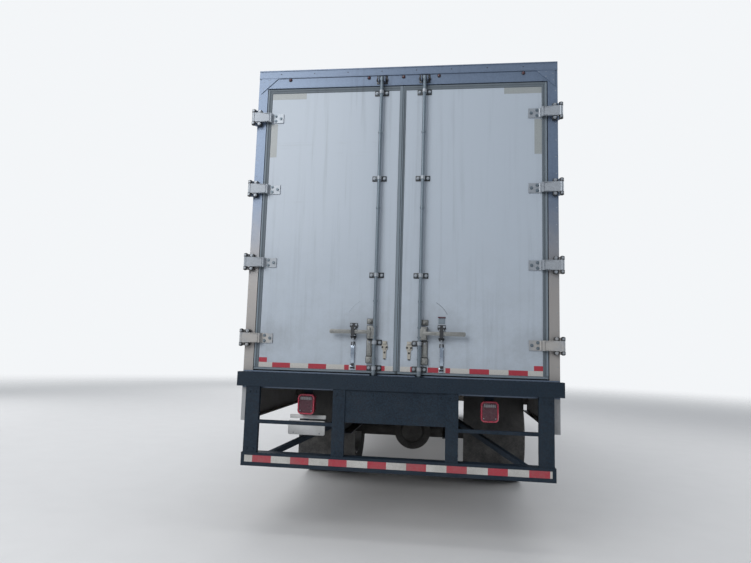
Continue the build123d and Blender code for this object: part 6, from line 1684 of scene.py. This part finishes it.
class BOXTRUCK_OT_stage(bpy.types.Operator):
    """Plain pale floor, soft studio light and the camera at the photograph's viewing angle"""

    bl_idname = "box_truck.stage"
    bl_label = "Stage"

    def execute(self, context):
        scene = context.scene
        scene.view_settings.view_transform = "Standard"
        bm = bmesh.new()
        bmesh.ops.create_grid(bm, x_segments=1, y_segments=1, size=60.0)
        mesh = bpy.data.meshes.new("floor")
        bm.to_mesh(mesh)
        bm.free()
        floor = bpy.data.objects.new("floor", mesh)
        scene.collection.objects.link(floor)
        tree, shader = new_material("floor_pale", Roughness=0.9)
        speck = noise(tree, here(tree), 3.0, 4.0)
        tree.links.new(tint(tree, speck, (0.60, 0.60, 0.60), (0.64, 0.64, 0.64)), shader.inputs["Base Color"])
        away = add_node(tree, "VectorMath", {0: here(tree)}, operation="LENGTH").outputs["Value"]
        tree.links.new(maths(tree, "SUBTRACT", 1.0, ramp_between(tree, away, 7.0, 22.0)), shader.inputs["Alpha"])
        mesh.materials.append(bpy.data.materials["floor_pale"])

        world = bpy.data.worlds.new("studio")
        world.use_nodes = True
        scene.world = world
        tree = world.node_tree
        back = tree.nodes["Background"]
        path = add_node(tree, "LightPath")
        seen = maths(tree, "MAXIMUM", path.outputs["Is Camera Ray"], path.outputs["Is Transmission Ray"])
        tree.links.new(tint(tree, seen, (0.80, 0.86, 0.95), (0.90, 0.92, 0.94)), back.inputs["Color"])
        tree.links.new(maths(tree, "MULTIPLY_ADD", seen, 0.60, 0.40), back.inputs["Strength"])

        for name, place, aim, wide, high, watts in (
            ("overhead", (0.0, 0.0, 9.0), (0.0, 0.0, 0.0), 9.0, 12.0, 560.0),
            ("behind", (-4.5, -11.0, 6.0), (0.0, -4.4, 2.2), 6.0, 5.0, 480.0),
            ("beside", (11.0, -3.0, 5.0), (0.0, 0.0, 1.8), 7.0, 5.0, 360.0),
            ("ahead", (-5.0, 11.0, 6.0), (0.0, 2.0, 1.5), 7.0, 5.0, 360.0),
            ("left", (-11.0, 0.0, 4.0), (0.0, 0.0, 1.8), 7.0, 5.0, 300.0),
        ):
            light = bpy.data.lights.new(name, "AREA")
            light.shape = "RECTANGLE"
            light.size, light.size_y, light.energy = wide, high, watts
            lamp = bpy.data.objects.new(name, light)
            lamp.location = place
            lamp.rotation_euler = (Vector(aim) - Vector(place)).to_track_quat("-Z", "Y").to_euler()
            scene.collection.objects.link(lamp)

        yaw, pitch, roll = (math.radians(angle) for angle in (7.38, 6.88, 1.73))
        level, up = Vector((-math.sin(yaw), math.cos(yaw), 0)), Vector((0, 0, 1))
        across = Vector((math.cos(yaw), math.sin(yaw), 0))
        ahead = level * math.cos(pitch) + up * math.sin(pitch)
        rise = up * math.cos(pitch) - level * math.sin(pitch)
        right = across * math.cos(roll) + rise * math.sin(roll)
        top = rise * math.cos(roll) - across * math.sin(roll)
        data = bpy.data.cameras.new("camera")
        data.lens, data.sensor_width = 27.26, 36.0
        camera = bpy.data.objects.new("camera", data)
        turn = Matrix((right, top, -ahead)).transposed().to_4x4()
        camera.matrix_world = Matrix.Translation((0.389, -8.831, 1.406)) @ turn  # where the photograph was taken
        scene.collection.objects.link(camera)
        scene.camera = camera
        return {"FINISHED"}


class BOXTRUCK_PT_panel(bpy.types.Panel):
    """Buttons that dress the truck"""

    bl_label = "Box Truck"
    bl_idname = "BOXTRUCK_PT_panel"
    bl_space_type = "VIEW_3D"
    bl_region_type = "UI"
    bl_category = "Box Truck"

    def draw(self, context):
        for operator in OPERATORS:
            self.layout.operator(operator.bl_idname)
        for settings in (context.scene.truck_colours, context.scene.truck_sizes):
            for key in settings.__annotations__:
                self.layout.prop(settings, key)


OPERATORS = (
    BOXTRUCK_OT_materials,
    BOXTRUCK_OT_door_seals,
    BOXTRUCK_OT_tyres,
    BOXTRUCK_OT_lock_gear,
    BOXTRUCK_OT_hinge_fittings,
    BOXTRUCK_OT_tape,
    BOXTRUCK_OT_lamps,
    BOXTRUCK_OT_rear_trim,
    BOXTRUCK_OT_wheel_trim,
    BOXTRUCK_OT_body_trim,
    BOXTRUCK_OT_load_space,
    BOXTRUCK_OT_cab_trim,
    BOXTRUCK_OT_hood_trim,
    BOXTRUCK_OT_interior,
    BOXTRUCK_OT_underbody,
    BOXTRUCK_OT_stage,
)
CLASSES = (TruckColours, TruckSizes, *OPERATORS, BOXTRUCK_PT_panel)


def register():
    for part in CLASSES:
        bpy.utils.register_class(part)
    bpy.types.Scene.truck_colours = bpy.props.PointerProperty(type=TruckColours)
    bpy.types.Scene.truck_sizes = bpy.props.PointerProperty(type=TruckSizes)


def unregister():
    del bpy.types.Scene.truck_colours
    del bpy.types.Scene.truck_sizes
    for part in reversed(CLASSES):
        bpy.utils.unregister_class(part)


def main():
    register()
    for operator in OPERATORS:
        group, name = operator.bl_idname.split(".")
        getattr(getattr(bpy.ops, group), name)()


if __name__ == "__main__":
    main()
